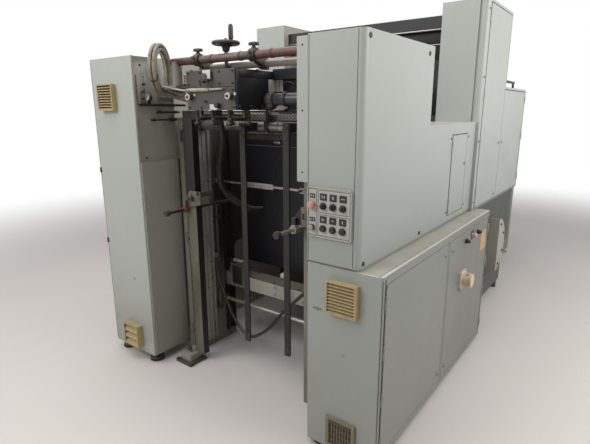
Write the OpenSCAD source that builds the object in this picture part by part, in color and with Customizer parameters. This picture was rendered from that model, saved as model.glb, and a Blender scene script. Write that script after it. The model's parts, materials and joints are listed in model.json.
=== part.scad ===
/* [Feeder housings] */
// Distance from the centre line to the left housing's outer side
left_out = 970; // [930:5:1010]
// Distance from the centre line to the right housing's outer side
right_out = 910; // [880:5:950]
// Height of the two feeder housings above the floor
house_h = 1900; // [1850:10:2000]
// Width of the left tower's front face
left_w = 420; // [390:5:440]
// Depth of the left tower
left_d = 290; // [260:5:310]
// Width of the right tower's front face
right_w = 262; // [240:2:290]
// Radius of the housings' rounded upright corners
corner_r = 24; // [12:1:30]
// Length of the housings, from the front face to the printing unit
house_l = 1500; // [1450:10:1600]
// Distance from the front face to the step down in the top
step_y = 705; // [650:5:760]
// Height of the low rear part of the housings
step_h = 1525; // [1480:5:1600]
// Height of the left tower's underside above the floor
tower_lift = 60; // [40:5:80]
// Thickness of a folded panel or door
panel_t = 18; // [14:1:22]
// Radius of the small folded edges
edge_r = 6; // [3:1:8]

/* [Lower cabinet] */
// How far the lower cabinet stands out beyond the right housing
ledge_w = 110; // [80:5:130]
// Height of the lower cabinet's top
cab_h = 940; // [900:5:960]
// Length of the lower cabinet
cab_l = 1620; // [1560:10:1700]
// Distance from the front face to the gap between its two doors
cab_split = 820; // [760:5:880]
// Height of the cabinet's underside above the floor
cab_lift = 30; // [20:5:50]
// Height of the dark plinth strip between cabinet and housing
plinth_h = 10; // [6:1:16]

/* [Doors] */
// Clear gap round a door
door_gap = 5; // [5:1:8]
// Distance from a door frame to the door, at the hinge side
hinge_gap = 16; // [16:1:20]
// Outer diameter of a hinge knuckle
knuckle_d = 12; // [10:1:14]
// Height of a hinge knuckle
knuckle_h = 30; // [20:2:40]
// Height gap between the knuckles of a frame and its door
hinge_run = 0.3; // [0.2:0.1:0.6]
// Diameter of a quarter-turn lock
lock_d = 26; // [20:1:32]
// Distance from a door's free edge to its lock
lock_in = 42; // [34:1:60]
// Front edge of the service door, from the front face
serve_y = 1062; // [1040:2:1100]
// Rear edge of the service door, from the front face
serve_end = 1350; // [1320:2:1380]
// Bottom of the service door
serve_z = 985; // [975:5:1020]
// Top of the service door
serve_top = 1462; // [1420:2:1480]

/* [Feeder frame] */
// Half the distance between the inner side frames
bay_half = 450; // [430:5:465]
// Thickness of an inner side frame
frame_t = 40; // [30:2:46]
// Height of the inner side frames
frame_h = 1600; // [1560:5:1600]
// Distance from the front face to the inner side frames
frame_y = 250; // [230:5:280]
// Width of a guide column
column_w = 76; // [70:2:80]
// Depth of a guide column
column_d = 45; // [35:1:50]

/* [Pile lift] */
// Height of the pile lift beam's top at rest
beam_top = 516; // [480:4:560]
// Height of the pile lift beam
beam_h = 90; // [70:2:110]
// Depth of the pile lift beam
beam_d = 120; // [90:5:130]
// Running clearance of the carriages in their rails
lift_gap = 0.3; // [0.2:0.1:1]

/* [Suction head] */
// Width of the suction head's box
head_w = 352; // [320:4:380]
// Depth of the suction head's box
head_d = 210; // [180:5:230]
// Height of the suction head's box
head_h = 200; // [180:4:210]
// Height of the box's underside
head_z = 1602; // [1595:1:1615]
// Diameter of the upper cross tube
tube_d = 42; // [36:1:50]
// Diameter of the lower cross tube
low_tube_d = 36; // [30:1:38]
// Height of the upper cross tube's axis
tube_z = 1867; // [1864:1:1876]
// Diameter of the handwheel
wheel_d = 150; // [140:2:200]
// Diameter of the handwheel's spindle
spindle_d = 20; // [14:1:24]
// Outer diameter of a suction hose
hose_d = 20; // [16:1:22]

/* [Printing unit] */
// Height of the tall cover
tall_h = 2262; // [2200:2:2300]
// Height of the low rear cover
low_h = 1762; // [1700:2:1800]
// Length of the tall cover
tall_l = 613; // [580:1:640]
// Length of the whole printing unit
unit_l = 1320; // [1280:10:1400]
// How far the unit's doors stand out beyond the right housing
unit_out = 20; // [10:1:30]
// Width of a tall cover
cover_w = 287; // [270:1:300]
// Diameter of the printing cylinders
cylinder_d = 270; // [240:2:276]
// Thickness of the unit's cast side frames
cast_t = 60; // [40:2:70]

/* [Delivery] */
// Length of the delivery behind the printing unit
deliv_l = 1180; // [1100:10:1300]
// Half the delivery's width
deliv_half = 690; // [660:5:700]
// Height of the delivery's side walls
deliv_h = 1180; // [1100:10:1260]

/* [Hidden] */
$fn = 64;
eps = 0.01;

mint = [0.66, 0.70, 0.66];
mint_shade = [0.52, 0.55, 0.50];
beige = [0.76, 0.68, 0.50];
black = [0.10, 0.10, 0.10];
oily = [0.22, 0.20, 0.18];
rusty = [0.45, 0.28, 0.22];
navy = [0.11, 0.12, 0.16];
steel = [0.62, 0.61, 0.58];
pale = [0.80, 0.80, 0.78];
red = [0.78, 0.16, 0.12];

// Derived places
origin_y = house_l + 660;
left_in = left_out - left_w;
right_in = right_out - right_w;
tower_in = -left_in - 14;
cab_out = right_out + ledge_w;
house_z = cab_h + plinth_h;
unit_side = right_out + unit_out;
unit_end = house_l + unit_l;
tall_end = house_l + tall_l;
cover_in = unit_side - cover_w;
skirt_z = cab_h;
post_y = house_l + 48;
cab_door_z = [cab_lift + 35, cab_h - 38];
front_door_y = [30, cab_split - 8];
rear_door_y = [cab_split + 8, cab_l - 14];
unit_door_z = skirt_z + 12;
cab_hinge_z = [for (i = [0 : 3]) cab_door_z[0] + 40 + i * (cab_door_z[1] - cab_door_z[0] - 150) / 3];
serve_hinge_z = [serve_z + 44, serve_top - 104];
low_hinge_z = [skirt_z + 70, (skirt_z + low_h) / 2, low_h - 110];
tall_hinge_z = concat(low_hinge_z, [tall_h - 140]);
head_y = 90;
head_x = -26;
tube_y = 190;
low_tube_y = tube_y + 72;
low_tube_z = tube_z - 37;
wheel_x = -40;
spindle_y = tube_y + 40;
wheel_z = tube_z + 77;
beam_y = 590;
column_x = 351;
guide_x = 387;
shaft_y = 420;
shaft_z = 1512;
shaft_d = 56;
guide_z = 1018;
front_plate_y = 760;
board_y = [800, house_l + 120];
board_z = [1520, 1300];
board_fall = (board_z[0] - board_z[1]) / (board_y[1] - board_y[0]);
pan_h = 60;
pan_half = bay_half + cast_t + 20;
cast_top = 1950;

// Moves a piece into the frame whose origin lies under the printing unit, and colours it.
module finish(c) {
    color(c) translate([0, -origin_y, 0]) children();
}

// Helpers: a block between limits, rods along each axis, and plates of a drawn outline.
module span(x, y, z) {
    translate([x[0], y[0], z[0]]) cube([x[1] - x[0], y[1] - y[0], z[1] - z[0]]);
}
module rod_x(x, y, z, d) {
    translate([x[0], y, z]) rotate([0, 90, 0]) cylinder(h = x[1] - x[0], d = d);
}
module rod_y(x, y, z, d) {
    translate([x, y[0], z]) rotate([-90, 0, 0]) cylinder(h = y[1] - y[0], d = d);
}
module rod_z(x, y, z, d) {
    translate([x, y, z[0]]) cylinder(h = z[1] - z[0], d = d);
}
// An outline drawn in y and z, as thick as x says
module along_x(x) {
    translate([x[0], 0, 0]) rotate([90, 0, 90]) linear_extrude(x[1] - x[0]) children();
}
// An outline drawn in x and z, as thick as y says
module along_y(y) {
    translate([0, y[1], 0]) rotate([90, 0, 0]) linear_extrude(y[1] - y[0]) children();
}
module along_z(z) {
    translate([0, 0, z[0]]) linear_extrude(z[1] - z[0]) children();
}
// A rectangle between limits with four round corners
module soft(a, b, r) {
    translate([a[0] + r, b[0]]) square([a[1] - a[0] - 2 * r, b[1] - b[0]]);
    translate([a[0], b[0] + r]) square([a[1] - a[0], b[1] - b[0] - 2 * r]);
    for (u = [a[0] + r, a[1] - r], v = [b[0] + r, b[1] - r]) translate([u, v]) circle(r);
}
module mirrored() {
    children();
    mirror([1, 0, 0]) children();
}

// A quarter-turn lock standing out along +x from x
module lock_x(x, y, z) {
    rod_x([x - 2, x + 3], y, z, lock_d);
    difference() {
        rod_x([x, x + 6], y, z, lock_d * 0.62);
        span([x + 4, x + 7], [y - 1.5, y + 1.5], [z - lock_d / 4, z + lock_d / 4]);
    }
}
// Hinge of a door on a side wall: knuckles and their tabs from the axis to y_to
module knuckles(x, y, y_to, zs) {
    for (z = zs) {
        rod_z(x, y, [z, z + knuckle_h], knuckle_d);
        span([x - 3, x + 3], [min(y, y_to), max(y, y_to)], [z, z + knuckle_h]);
    }
}
// The door's knuckles stand on those of the frame
function above(zs) = [for (z = zs) z + knuckle_h + hinge_run];

// A framed louvre w wide and h high on a front face, its lower left corner at x, z
module louvre(x, z, w, h, out, blades) {
    rim = 8;
    difference() {
        along_y([-out, 0]) soft([x, x + w], [z, z + h], 5);
        span([x + rim, x + w - rim], [-out - 1, 1], [z + rim, z + h - rim]);
    }
    pitch = (h - 2 * rim) / blades;
    for (i = [0 : blades - 1])
        translate([x + rim - 1, 0, z + rim + i * pitch])
            rotate([90, 0, 90]) linear_extrude(w - 2 * rim + 2)
                polygon([[-out + 2, -1], [-out + 2, 2.5], [-1, pitch + 1], [-1, pitch - 1.5]]);
}

// Left tower: closed housing whose inner side is stepped back above a lower cover
module left_tower() finish(mint) {
    cover_top = 1305;
    difference() {
        along_z([tower_lift, house_h]) soft([-left_out, -left_in], [0, left_d], edge_r);
        span([tower_in, -left_in + 1], [16, left_d + 1], [cover_top, house_h + 1]);
        // Door joint on the outer side
        span([-left_out - 1, -left_out + 3], [26, 30], [tower_lift + 30, house_h - 30]);
        span([-left_out - 1, -left_out + 3], [30, left_d - 20], [house_h - 34, house_h - 30]);
        span([-left_out - 1, -left_out + 3], [30, left_d - 20], [tower_lift + 30, tower_lift + 34]);
    }
    // Raised lower cover on the inner side
    along_x([-left_in - 1, -left_in + 6]) soft([10, left_d - 12], [tower_lift + 4, cover_top - 2], 18);
}

// Side profile shared by both housings behind the towers
module housing_profile(y0, z0) {
    translate([y0, z0]) square([step_y - y0, house_h - z0]);
    translate([y0, z0]) square([house_l - y0, step_h - z0 - edge_r]);
    translate([y0, z0]) square([house_l - y0 - edge_r, step_h - z0]);
    translate([house_l - edge_r, step_h - edge_r]) circle(edge_r);
}

module left_housing() finish(mint) {
    inner = left_out - right_w;
    difference() {
        along_x([-left_out, -inner]) housing_profile(left_d, tower_lift);
        span([-left_out - 1, -left_out + 3], [step_y + 20, step_y + 24], [tower_lift + 20, step_h - 20]);
        span([-left_out - 1, -left_out + 3], [left_d - 1, house_l + 1], [cab_h, cab_h + 5]);
    }
}

module tower_vents() finish(beige) {
    louvre(-left_out + 98, 1602, 152, 152, 30, 9);
    louvre(-left_out + 160, 96, 150, 150, 44, 3);
    along_y([-8, 0]) soft([-left_out + 160, -left_out + 310], [96, 246], 5);
}

module tower_feet() finish(black) {
    for (p = [[-left_out + 60, 60], [-left_in - 60, 60], [-left_out + 60, house_l - 80],
              [-left_out + 60, 700], [-left_out + right_w - 50, house_l - 80]]) {
        rod_z(p[0], p[1], [0, 18], 90);
        rod_z(p[0], p[1], [18 - eps, tower_lift], 36);
    }
}

// Right housing: stepped profile with a large front corner radius and a pocket for its door
module right_housing() {
    finish(mint) difference() {
        union() {
            along_z([house_z, house_h]) {
                soft([right_in, right_out], [0, step_y], corner_r);
                translate([right_in, corner_r]) square([right_w - corner_r, step_y - corner_r]);
                translate([right_in + corner_r, step_y - corner_r]) square([right_w - corner_r, corner_r]);
                translate([right_in, 0]) square([corner_r, corner_r]);
            }
            along_x([right_in, right_out]) difference() {
                housing_profile(corner_r * 2, house_z);
                translate([0, step_h]) square([step_y, house_h]);
            }
        }
        // Front panel joint
        span([right_in + 4, right_in + 7], [-1, 3], [house_z + 8, house_h - 8]);
        // Pocket behind the service door, with a rebate for its hinge
        span([right_out - 130, right_out + 1], [serve_y, serve_end], [serve_z, serve_top]);
    }
    finish(black) span([right_in + 8, right_out - 8], [10, house_l - 6], [cab_h, house_z + 1]);
    finish(mint) knuckles(right_out + 2, serve_y + hinge_gap / 2, serve_y - 4, serve_hinge_z);
}

// Narrow flanged cover on the right tower's inner side
module right_strip() finish(mint) {
    along_z([1298, house_h - 6]) difference() {
        soft([right_in - 60, right_in], [2, 150], 5);
        translate([right_in - 57, 5]) square([54, 160]);
    }
}

// Hinged leaf that covers an opening in the plane x, its outer face flush
module leaf(x, y, z) {
    lip = 12;
    difference() {
        along_x([x - panel_t, x]) soft(y, z, edge_r);
        along_x([x - panel_t - 1, x - 3]) soft([y[0] + lip, y[1] - lip], [z[0] + lip, z[1] - lip], 3);
    }
}

module lower_cabinet() finish(mint) {
    wall = panel_t;
    difference() {
        along_z([cab_lift, cab_h]) soft([right_in, cab_out], [0, cab_l], edge_r);
        for (bay = [front_door_y, rear_door_y]) {
            span([right_in + wall, cab_out - wall - 14], [bay[0] + 4, bay[1] - 4],
                [cab_lift + wall, cab_h - wall]);
            span([cab_out - wall - 15, cab_out + 1], bay, cab_door_z);
        }
        // Air openings behind the louvre and the filter grille
        span([cab_out - 245, cab_out - 115], [-1, 40], [745, 875]);
        span([cab_out - 245, cab_out - 115], [-1, 40], [62, 192]);
    }
    // Upright mounting plate in each bay
    for (bay = [front_door_y, rear_door_y])
        span([right_in + wall - 1, right_in + wall + 3], [bay[0] + 60, bay[1] - 60], [140, cab_h - 120]);
    knuckles(cab_out + 2, front_door_y[0] + hinge_gap / 2, front_door_y[0] - 4, cab_hinge_z);
    knuckles(cab_out + 2, rear_door_y[1] - hinge_gap / 2, rear_door_y[1] + 4, cab_hinge_z);
}

module cabinet_feet() finish(black) {
    for (x = [right_in + 50, cab_out - 60], y = [60, cab_l / 2, cab_l - 70]) {
        rod_z(x, y, [0, 12], 84);
        rod_z(x, y, [12 - eps, cab_lift], 34);
    }
}

module cabinet_vents() finish(beige) {
    louvre(cab_out - 256, 734, 152, 152, 30, 9);
    // Flat framed filter with vertical bars
    frame_x = [cab_out - 258, cab_out - 102];
    difference() {
        along_y([-10, 0]) soft(frame_x, [48, 206], 5);
        span([frame_x[0] + 16, frame_x[1] - 16], [-11, 1], [64, 190]);
    }
    for (i = [0 : 8]) span([frame_x[0] + 15 + i * 15, frame_x[0] + 19 + i * 15], [-7, -3], [63, 191]);
    for (i = [0 : 3]) span([frame_x[0] + 15, frame_x[1] - 15], [-4, -1], [82 + i * 30, 85 + i * 30]);
}

module cabinet_door_front() finish(mint) {
    y = [front_door_y[0] + hinge_gap, front_door_y[1] - door_gap];
    z = [cab_door_z[0] + door_gap, cab_door_z[1] - door_gap];
    leaf(cab_out, y, z);
    knuckles(cab_out + 2, front_door_y[0] + hinge_gap / 2, y[0] + 4, above(cab_hinge_z));
    for (h = [z[0] + 60, z[1] - 60]) lock_x(cab_out, y[1] - lock_in, h);
}

module cabinet_door_rear() {
    y = [rear_door_y[0] + door_gap, rear_door_y[1] - hinge_gap];
    z = [cab_door_z[0] + door_gap, cab_door_z[1] - door_gap];
    finish(mint) {
        leaf(cab_out, y, z);
        knuckles(cab_out + 2, rear_door_y[1] - hinge_gap / 2, y[1] - 4, above(cab_hinge_z));
        for (h = [z[0] + 60, z[1] - 60]) lock_x(cab_out, y[0] + lock_in, h);
    }
}

// Round mains inlet with its spring lid, on the rear door, and the switches above it
module power_inlet() finish(beige) {
    y = 1085;
    z = 610;
    along_x([cab_out, cab_out + 14]) soft([y - 55, y + 55], [z - 55, z + 55], 14);
    difference() {
        rod_x([cab_out + 14 - eps, cab_out + 62], y, z, 86);
        rod_x([cab_out + 30, cab_out + 63], y, z, 70);
    }
    rod_x([cab_out + 56, cab_out + 66], y, z, 74);
    for (s = [[1110, 842, 22], [1238, 852, 26], [1352, 848, 22]])
        rod_x([cab_out, cab_out + 14], s[0], s[1], s[2]);
}

module service_door() finish(mint) {
    y = [serve_y + hinge_gap, serve_end - door_gap];
    z = [serve_z + door_gap, serve_top - door_gap];
    leaf(right_out, y, z);
    knuckles(right_out + 2, serve_y + hinge_gap / 2, y[0] + 4, above(serve_hinge_z));
    lock_x(right_out, y[1] - 24, 1279);
}

// Operator's plate: a tray with a raised rim, and holes for the stop button's stem
panel_x = [right_in + 6, right_out - 38];
panel_z = [1066, 1284];
stop_x = panel_x[0] + 26;
stop_z = 1206;
stop_d = 34;
stem_d = 16;
stem_gap = 0.4;
module control_panel() finish(pale) {
    difference() {
        union() {
            along_y([-8, 0]) soft(panel_x, panel_z, 8);
            along_y([-11, -7]) difference() {
                soft(panel_x, panel_z, 8);
                soft([panel_x[0] + 4, panel_x[1] - 4], [panel_z[0] + 4, panel_z[1] - 4], 5);
            }
        }
        rod_y(stop_x, [-12, -2], stop_z, stem_d + 2 * stem_gap);
    }
}

// Two rows of round buttons, each with its square tile above, and the grey button
module control_buttons() finish(black) {
    for (col = [0 : 2], row = [0 : 1]) {
        x = panel_x[0] + 82 + col * 48;
        z = panel_z[0] + 42 + row * 98;
        rod_y(x, [-13, -8], z, 32);
        rod_y(x, [-22, -13 + eps], z, 24);
        along_y([-10, -8]) soft([x - 17, x + 17], [z + 24, z + 54], 2);
    }
    rod_y(stop_x, [-13, -8], panel_z[0] + 42, 30);
    rod_y(stop_x, [-19, -13 + eps], panel_z[0] + 42, 24);
}

module stop_button() finish(red) {
    rod_y(stop_x, [-28, -16], stop_z, stop_d);
    translate([stop_x, -28, stop_z]) rotate([90, 0, 0])
        cylinder(h = 4, d1 = stop_d, d2 = stop_d - 10);
    rod_y(stop_x, [-17, -7], stop_z, stem_d);
}

// Inner side frames: cast plates, a leg at the front and at the rear, with a round-cornered arch
module frame_outline() {
    r = 60;
    difference() {
        translate([frame_y, 0]) square([house_l + 40 - frame_y, frame_h]);
        soft([beam_y + 60, house_l - 200], [-200, 700], r);
        translate([frame_y - 1, frame_h - 40]) square([40, 41]);
    }
}
module feeder_frames() finish(mint_shade) {
    mirrored() along_x([bay_half, bay_half + frame_t]) frame_outline();
    // Stubs that hold the sagging hose's ends
    span([-bay_half - eps, -410], [440, 464], [640, 664]);
    span([410, bay_half + eps], [440, 464], [800, 824]);
    // Spacers that carry the frames from the outer housings
    for (y = [left_d + 60, house_l - 200]) {
        span([-left_out + right_w, -bay_half - frame_t + eps], [y, y + 60], [1200, 1300]);
        span([bay_half + frame_t - eps, right_in], [y, y + 60], [1200, 1300]);
    }
}

// Guide columns before the frames: the left one in the bay, the right one behind the right tower
right_column_x = bay_half + frame_t + 60;
module guide_columns() finish(oily) {
    half = column_w / 2;
    lug_y = [frame_y - 12, frame_y];
    difference() {
        for (x = [-column_x, right_column_x])
            span([x - half, x + half], [frame_y - column_d, frame_y], [60, 1552]);
        rod_y(-guide_x, [frame_y - column_d - 1, frame_y + 1], guide_z, 20.6);
    }
    for (z = [150, 780, 1420]) {
        span([-bay_half - 10, -column_x - half + eps], lug_y, [z, z + 70]);
        span([bay_half + frame_t - 10, right_column_x - half + eps], lug_y, [z, z + 70]);
    }
}

module column_feet() finish(pale) {
    span([-464, -370], [frame_y - 110, frame_y], [14, 60]);
    span([-480, -340], [frame_y - 140, frame_y], [0, 14 + eps]);
    rod_z(-414, frame_y - 80, [60 - eps, 78], 24);
    span([right_column_x - 36, right_column_x + 50], [frame_y - 44, frame_y], [0, 60]);
}

// On each frame: an upright cable channel, the channel in which the pile lift runs, and the lift's
// spindle with its nut, between two brackets
rail_h = [60, 1500];
rail_out = 24;
slot_half = 22;
screw_x = bay_half - 25;
screw_y = beam_y - 115;
module lift_rails() finish(steel) {
    for (side = [0, 1]) mirror([side, 0, 0]) {
        difference() {
            span([bay_half - rail_out, bay_half], [345, 440], [rail_h[0], shaft_z - shaft_d / 2 - 6]);
            for (y = [[372, 376], [406, 424]])
                span([bay_half - rail_out - 1, bay_half - 8], y, [rail_h[0] - 1, shaft_z]);
        }
        difference() {
            span([bay_half - rail_out, bay_half], [beam_y - 40, beam_y + 40], rail_h);
            span([bay_half - rail_out - 1, bay_half - 6], [beam_y - slot_half, beam_y + slot_half],
                [rail_h[0] - 1, rail_h[1] + 1]);
        }
        // Screw, nut, two brackets and the cross handle on top
        rod_z(screw_x, screw_y, [280, 1006], 18);
        rod_z(screw_x, screw_y, [305, 385], 34);
        for (z = [262, 900]) span([screw_x - 16, bay_half], [screw_y - 16, screw_y + 16], [z, z + 24]);
        rod_y(screw_x, [screw_y - 26, screw_y + 26], 994, 12);
    }
}

// Cross beam of the pile lift: a channel open to the rear, with a carriage at each end
module lift_beam() finish(pale) {
    z0 = beam_top - beam_h;
    half = bay_half - rail_out - 6;
    flange = 8;
    y = [beam_y - beam_d / 2, beam_y + beam_d / 2];
    difference() {
        span([-half, half], y, [z0, beam_top]);
        span([-half + 60, half - 60], [y[0] + flange, y[1] + 1], [z0 + flange, beam_top - flange]);
    }
    mirrored() span([half - 20, bay_half - 6 - lift_gap],
        [beam_y - slot_half + lift_gap, beam_y + slot_half - lift_gap], [z0, beam_top]);
    // Angle plate on the front
    span([100, 160], [y[0] - 6, y[0] + eps], [z0 + 6, beam_top - 14]);
}

// Fixed cross members between the frames: lower rod, front rod, two shafts and a strip below the head
module frame_rods() finish(steel) {
    rod_x([-bay_half, bay_half], 505, 337, 24);
    rod_x([-bay_half, bay_half], 900, 760, 40);
    rod_x([-bay_half, bay_half], shaft_y, shaft_z, shaft_d);
    rod_x([-bay_half, bay_half], shaft_y, shaft_z + 68, 16);
    span([-bay_half, bay_half], [shaft_y + 18, shaft_y + 26], [shaft_z + 34, shaft_z + 60]);
}

module front_plate() finish(navy) {
    along_y([front_plate_y, front_plate_y + 12]) soft([-bay_half, bay_half], [542, 1371], 10);
    for (x = [-150, 150]) span([x - 6, x + 6], [front_plate_y - 4, front_plate_y + 1], [580, 1331]);
    span([-bay_half, bay_half], [front_plate_y + 12 - eps, front_plate_y + 20], [1340, frame_h]);
}

// Side guide of the pile: a rod with a knob, in a collar that a bracket holds to the column
module side_guide(x, to, end, collar) {
    y = frame_y - column_d;
    rod_y(x, [56, end], guide_z, 20);
    rod_y(x, [34, 60], guide_z, 36);
    rod_y(x, [y - 34, y + collar], guide_z, 42);
    difference() {
        union() {
            translate([x, 0, guide_z]) along_y([y - 8, y])
                polygon([[-18, 8], [-20, 44], [8, 84], [30, 116], [to - x, 116], [to - x, 40],
                         [60, 20], [18, 8]]);
            span([x - 12, x + 12], [y - 30, y - 8 + eps], [guide_z + 12, guide_z + 60]);
            // Arm along the column's side, with its lug
            span([to - 8, to], [y - 8, y + 88], [guide_z + 84, guide_z + 116]);
            span([to - 8, to], [y + 64, y + 88], [guide_z + 30, guide_z + 116]);
        }
        span([x + 40, x + 72], [y - 9, y + 1], [guide_z + 52, guide_z + 84]);
    }
}
module side_guides() finish(rusty) {
    side_guide(-guide_x, -262, 560, 0);
    side_guide(bay_half - 12, right_column_x + column_w / 2 + 8, 300, 36);
}

// Two flat back stops that hang from clamps on the thick shaft
module hanging_guides() finish(oily) {
    for (x = [-6, 300]) {
        span([x - 20, x + 20], [296, 304], [222, shaft_z + 22]);
        difference() {
            span([x - 26, x + 26], [304 - eps, shaft_y + 12], [shaft_z - 22, shaft_z + 22]);
            rod_x([x - 27, x + 27], shaft_y, shaft_z, shaft_d);
        }
    }
}

module scale_bar() finish(steel) {
    span([-bay_half, bay_half], [500, 506], [1146, 1158]);
    for (x = [[-170, 45], [243, 310]]) span(x, [497, 500 + eps], [1136, 1168]);
}

post_x = -394;
module cross_tubes() {
    finish(rusty) rod_x([post_x - 34, right_in], tube_y, tube_z, tube_d);
    finish(steel) rod_x([-270, right_in], low_tube_y, low_tube_z, low_tube_d);
}

// Split clamps that join the two tubes, each with a winged knob
module tube_clamps() finish(oily) {
    for (x = [-212, 190]) {
        difference() {
            union() {
                along_x([x - 20, x + 20]) {
                    translate([tube_y, tube_z]) circle(d = tube_d + 22);
                    translate([low_tube_y, low_tube_z]) circle(d = low_tube_d + 18);
                    polygon([[tube_y - 20, tube_z - 26], [tube_y + 20, tube_z + 26],
                             [low_tube_y + 16, low_tube_z + 14], [low_tube_y - 14, low_tube_z - 18]]);
                }
                span([x - 14, x + 14], [low_tube_y - 10, low_tube_y + 30], [head_z + head_h, low_tube_z - 8]);
            }
            rod_x([x - 21, x + 21], tube_y, tube_z, tube_d);
            rod_x([x - 21, x + 21], low_tube_y, low_tube_z, low_tube_d);
        }
        rod_z(x, tube_y, [tube_z + tube_d / 2 + 2, tube_z + 52], 14);
        along_z([tube_z + 44, tube_z + 58]) {
            translate([x, tube_y]) circle(d = 24);
            for (a = [20, 200]) translate([x, tube_y]) rotate(a) soft([0, 44], [-9, 9], 8);
        }
    }
}

// Suction head: box with a joint line, end plates, dials and a bolted cap
module suction_head() finish(oily) {
    x = [head_x - head_w / 2, head_x + head_w / 2];
    z = [head_z, head_z + head_h];
    difference() {
        span(x, [head_y, head_y + head_d], z);
        span([x[0] - 1, x[1] + 1], [head_y - 1, head_y + 4], [head_z + 112, head_z + 116]);
    }
    for (d = [-146, 146]) {
        rod_y(head_x + d, [head_y - 22, head_y + eps], head_z + 68, 34);
        rod_y(head_x + d, [head_y - 34, head_y - 22 + eps], head_z + 68, 12);
    }
    rod_y(head_x - 20, [head_y - 20, head_y + eps], head_z + 168, 30);
    span([head_x - 28, head_x + 12], [head_y - 12, head_y + eps], [head_z + 150, head_z + 186]);
    // Port block that the hoses leave
    along_x([hose_start[0], x[0] + eps])
        soft([hose_start[1] - 26, hose_start[1] + 26], [hose_start[2] - 28, hose_start[2] + 28], 8);
    // Collar in which the handwheel's spindle turns
    difference() {
        rod_z(wheel_x, spindle_y, [head_z + head_h - eps, head_z + head_h + 8], spindle_d + 18);
        rod_z(wheel_x, spindle_y, [head_z + head_h, head_z + head_h + 9], spindle_d + 0.6);
    }
}

// Lifting and forwarding suckers under the head
module suction_feet() finish(steel) {
    for (i = [0 : 5]) {
        x = head_x - 150 + i * 60;
        y = head_y + (i % 2 == 0 ? 40 : 120);
        rod_z(x, y, [head_z - 60, head_z], 16);
        rod_z(x, y, [head_z - 72, head_z - 60 + eps], 34);
    }
    rod_x([head_x - 170, head_x + 170], head_y + 80, head_z - 30, 14);
    for (x = [head_x - 160, head_x + 160])
        span([x - 8, x + 8], [head_y + 72, head_y + 88], [head_z - 36, head_z]);
}

// Handwheel: dished rim, four spokes, conical hub, upright crank grip, and its spindle
module handwheel() finish(black) translate([wheel_x, spindle_y, 0]) {
    rim_d = 20;
    translate([0, 0, wheel_z]) rotate_extrude() translate([wheel_d / 2 - rim_d / 2, 0]) circle(d = rim_d);
    translate([0, 0, wheel_z - 7]) cylinder(h = 12, d = wheel_d - rim_d);
    translate([0, 0, wheel_z - 42]) cylinder(h = 36, d1 = 34, d2 = 66);
    translate([0, 0, wheel_z + 5 - eps]) cylinder(h = 10, d = 44);
    rotate(-15) translate([wheel_d / 2 - 22, 0, wheel_z + 4]) {
        cylinder(h = 20, d = 14);
        translate([0, 0, 14]) cylinder(h = 72, d = 25);
    }
    translate([0, 0, head_z + head_h + 0.3]) cylinder(h = wheel_z - head_z - head_h - 20, d = spindle_d);
}

// A smooth path through points, and a tube swept along a path
function smooth(p, n) = [for (i = [0 : len(p) - 2], k = [0 : n - 1])
    let (a = p[max(i - 1, 0)], b = p[i], c = p[i + 1], d = p[min(i + 2, len(p) - 1)], t = k / n)
    0.5 * (2 * b + (c - a) * t + (2 * a - 5 * b + 4 * c - d) * t * t + (3 * b - a - 3 * c + d) * t * t * t)];
function unit(v) = v / norm(v);
module sweep(path, d, ref = [0, 1, 0], sides = 8) {
    last = len(path) - 1;
    rings = [for (i = [0 : last])
        let (t = unit(path[min(i + 1, last)] - path[max(i - 1, 0)]),
             u = unit(cross(t, ref)), v = cross(t, u))
        for (k = [0 : sides - 1]) path[i] + d / 2 * (cos(360 * k / sides) * u + sin(360 * k / sides) * v)];
    walls = [for (i = [0 : last - 1], k = [0 : sides - 1])
        let (a = i * sides + k, b = i * sides + (k + 1) % sides) [a, b, b + sides, a + sides]];
    polyhedron(rings, concat([[for (k = [sides - 1 : -1 : 0]) k]], walls,
        [[for (k = [0 : sides - 1]) last * sides + k]]), convexity = 4);
}

// Four suction hoses leave the head's port as a bundle, turn by turn_a in plan, rise in a ring and drop
// into the valve block. k = 1 or -1 is left or right in the bundle, j = 1 or -1 its outer or inner layer.
hose_start = [head_x - head_w / 2 - 24, 256, 1668];
pitch = 11;
turn_a = 122;
turn_r = 100;
turn_x = -345;
rise = 37;
ring_r = 118;
ring_dir = [cos(turn_a), sin(turn_a), 0];
ring_side = [sin(turn_a), -cos(turn_a), 0];
ring_centre = [turn_x - turn_r * sin(turn_a), hose_start[1] - turn_r * (1 - cos(turn_a)),
    hose_start[2] + rise + ring_r];
function hose_turn(k, j, f) = let (a = turn_a * f, r = turn_r - pitch * k)
    [turn_x - r * sin(a), hose_start[1] - turn_r + r * cos(a),
     hose_start[2] + rise * (1 - cos(180 * f)) / 2 - pitch * j];
function hose_ring(k, j, a) = ring_centre + (ring_r + pitch * j) * (cos(a) * ring_dir + [0, 0, sin(a)])
    + pitch * k * ring_side;
function hose_drop(k, j) = let (p = hose_ring(k, j, 0)) [p[0], p[1], valve_z + 12];
function hose_route(k, j) = concat([[hose_start[0], hose_start[1] - pitch * k, hose_start[2] - pitch * j]],
    [for (i = [0 : 6]) hose_turn(k, j, i / 7)], [for (i = [0 : 15]) hose_ring(k, j, 270 - 18 * i)],
    [hose_drop(k, j)]);
module suction_hoses() finish(beige) {
    for (k = [-1, 1], j = [-1, 1]) sweep(hose_route(k, j), hose_d, k * j * [0.1, 1, 0.05]);
}

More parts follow.
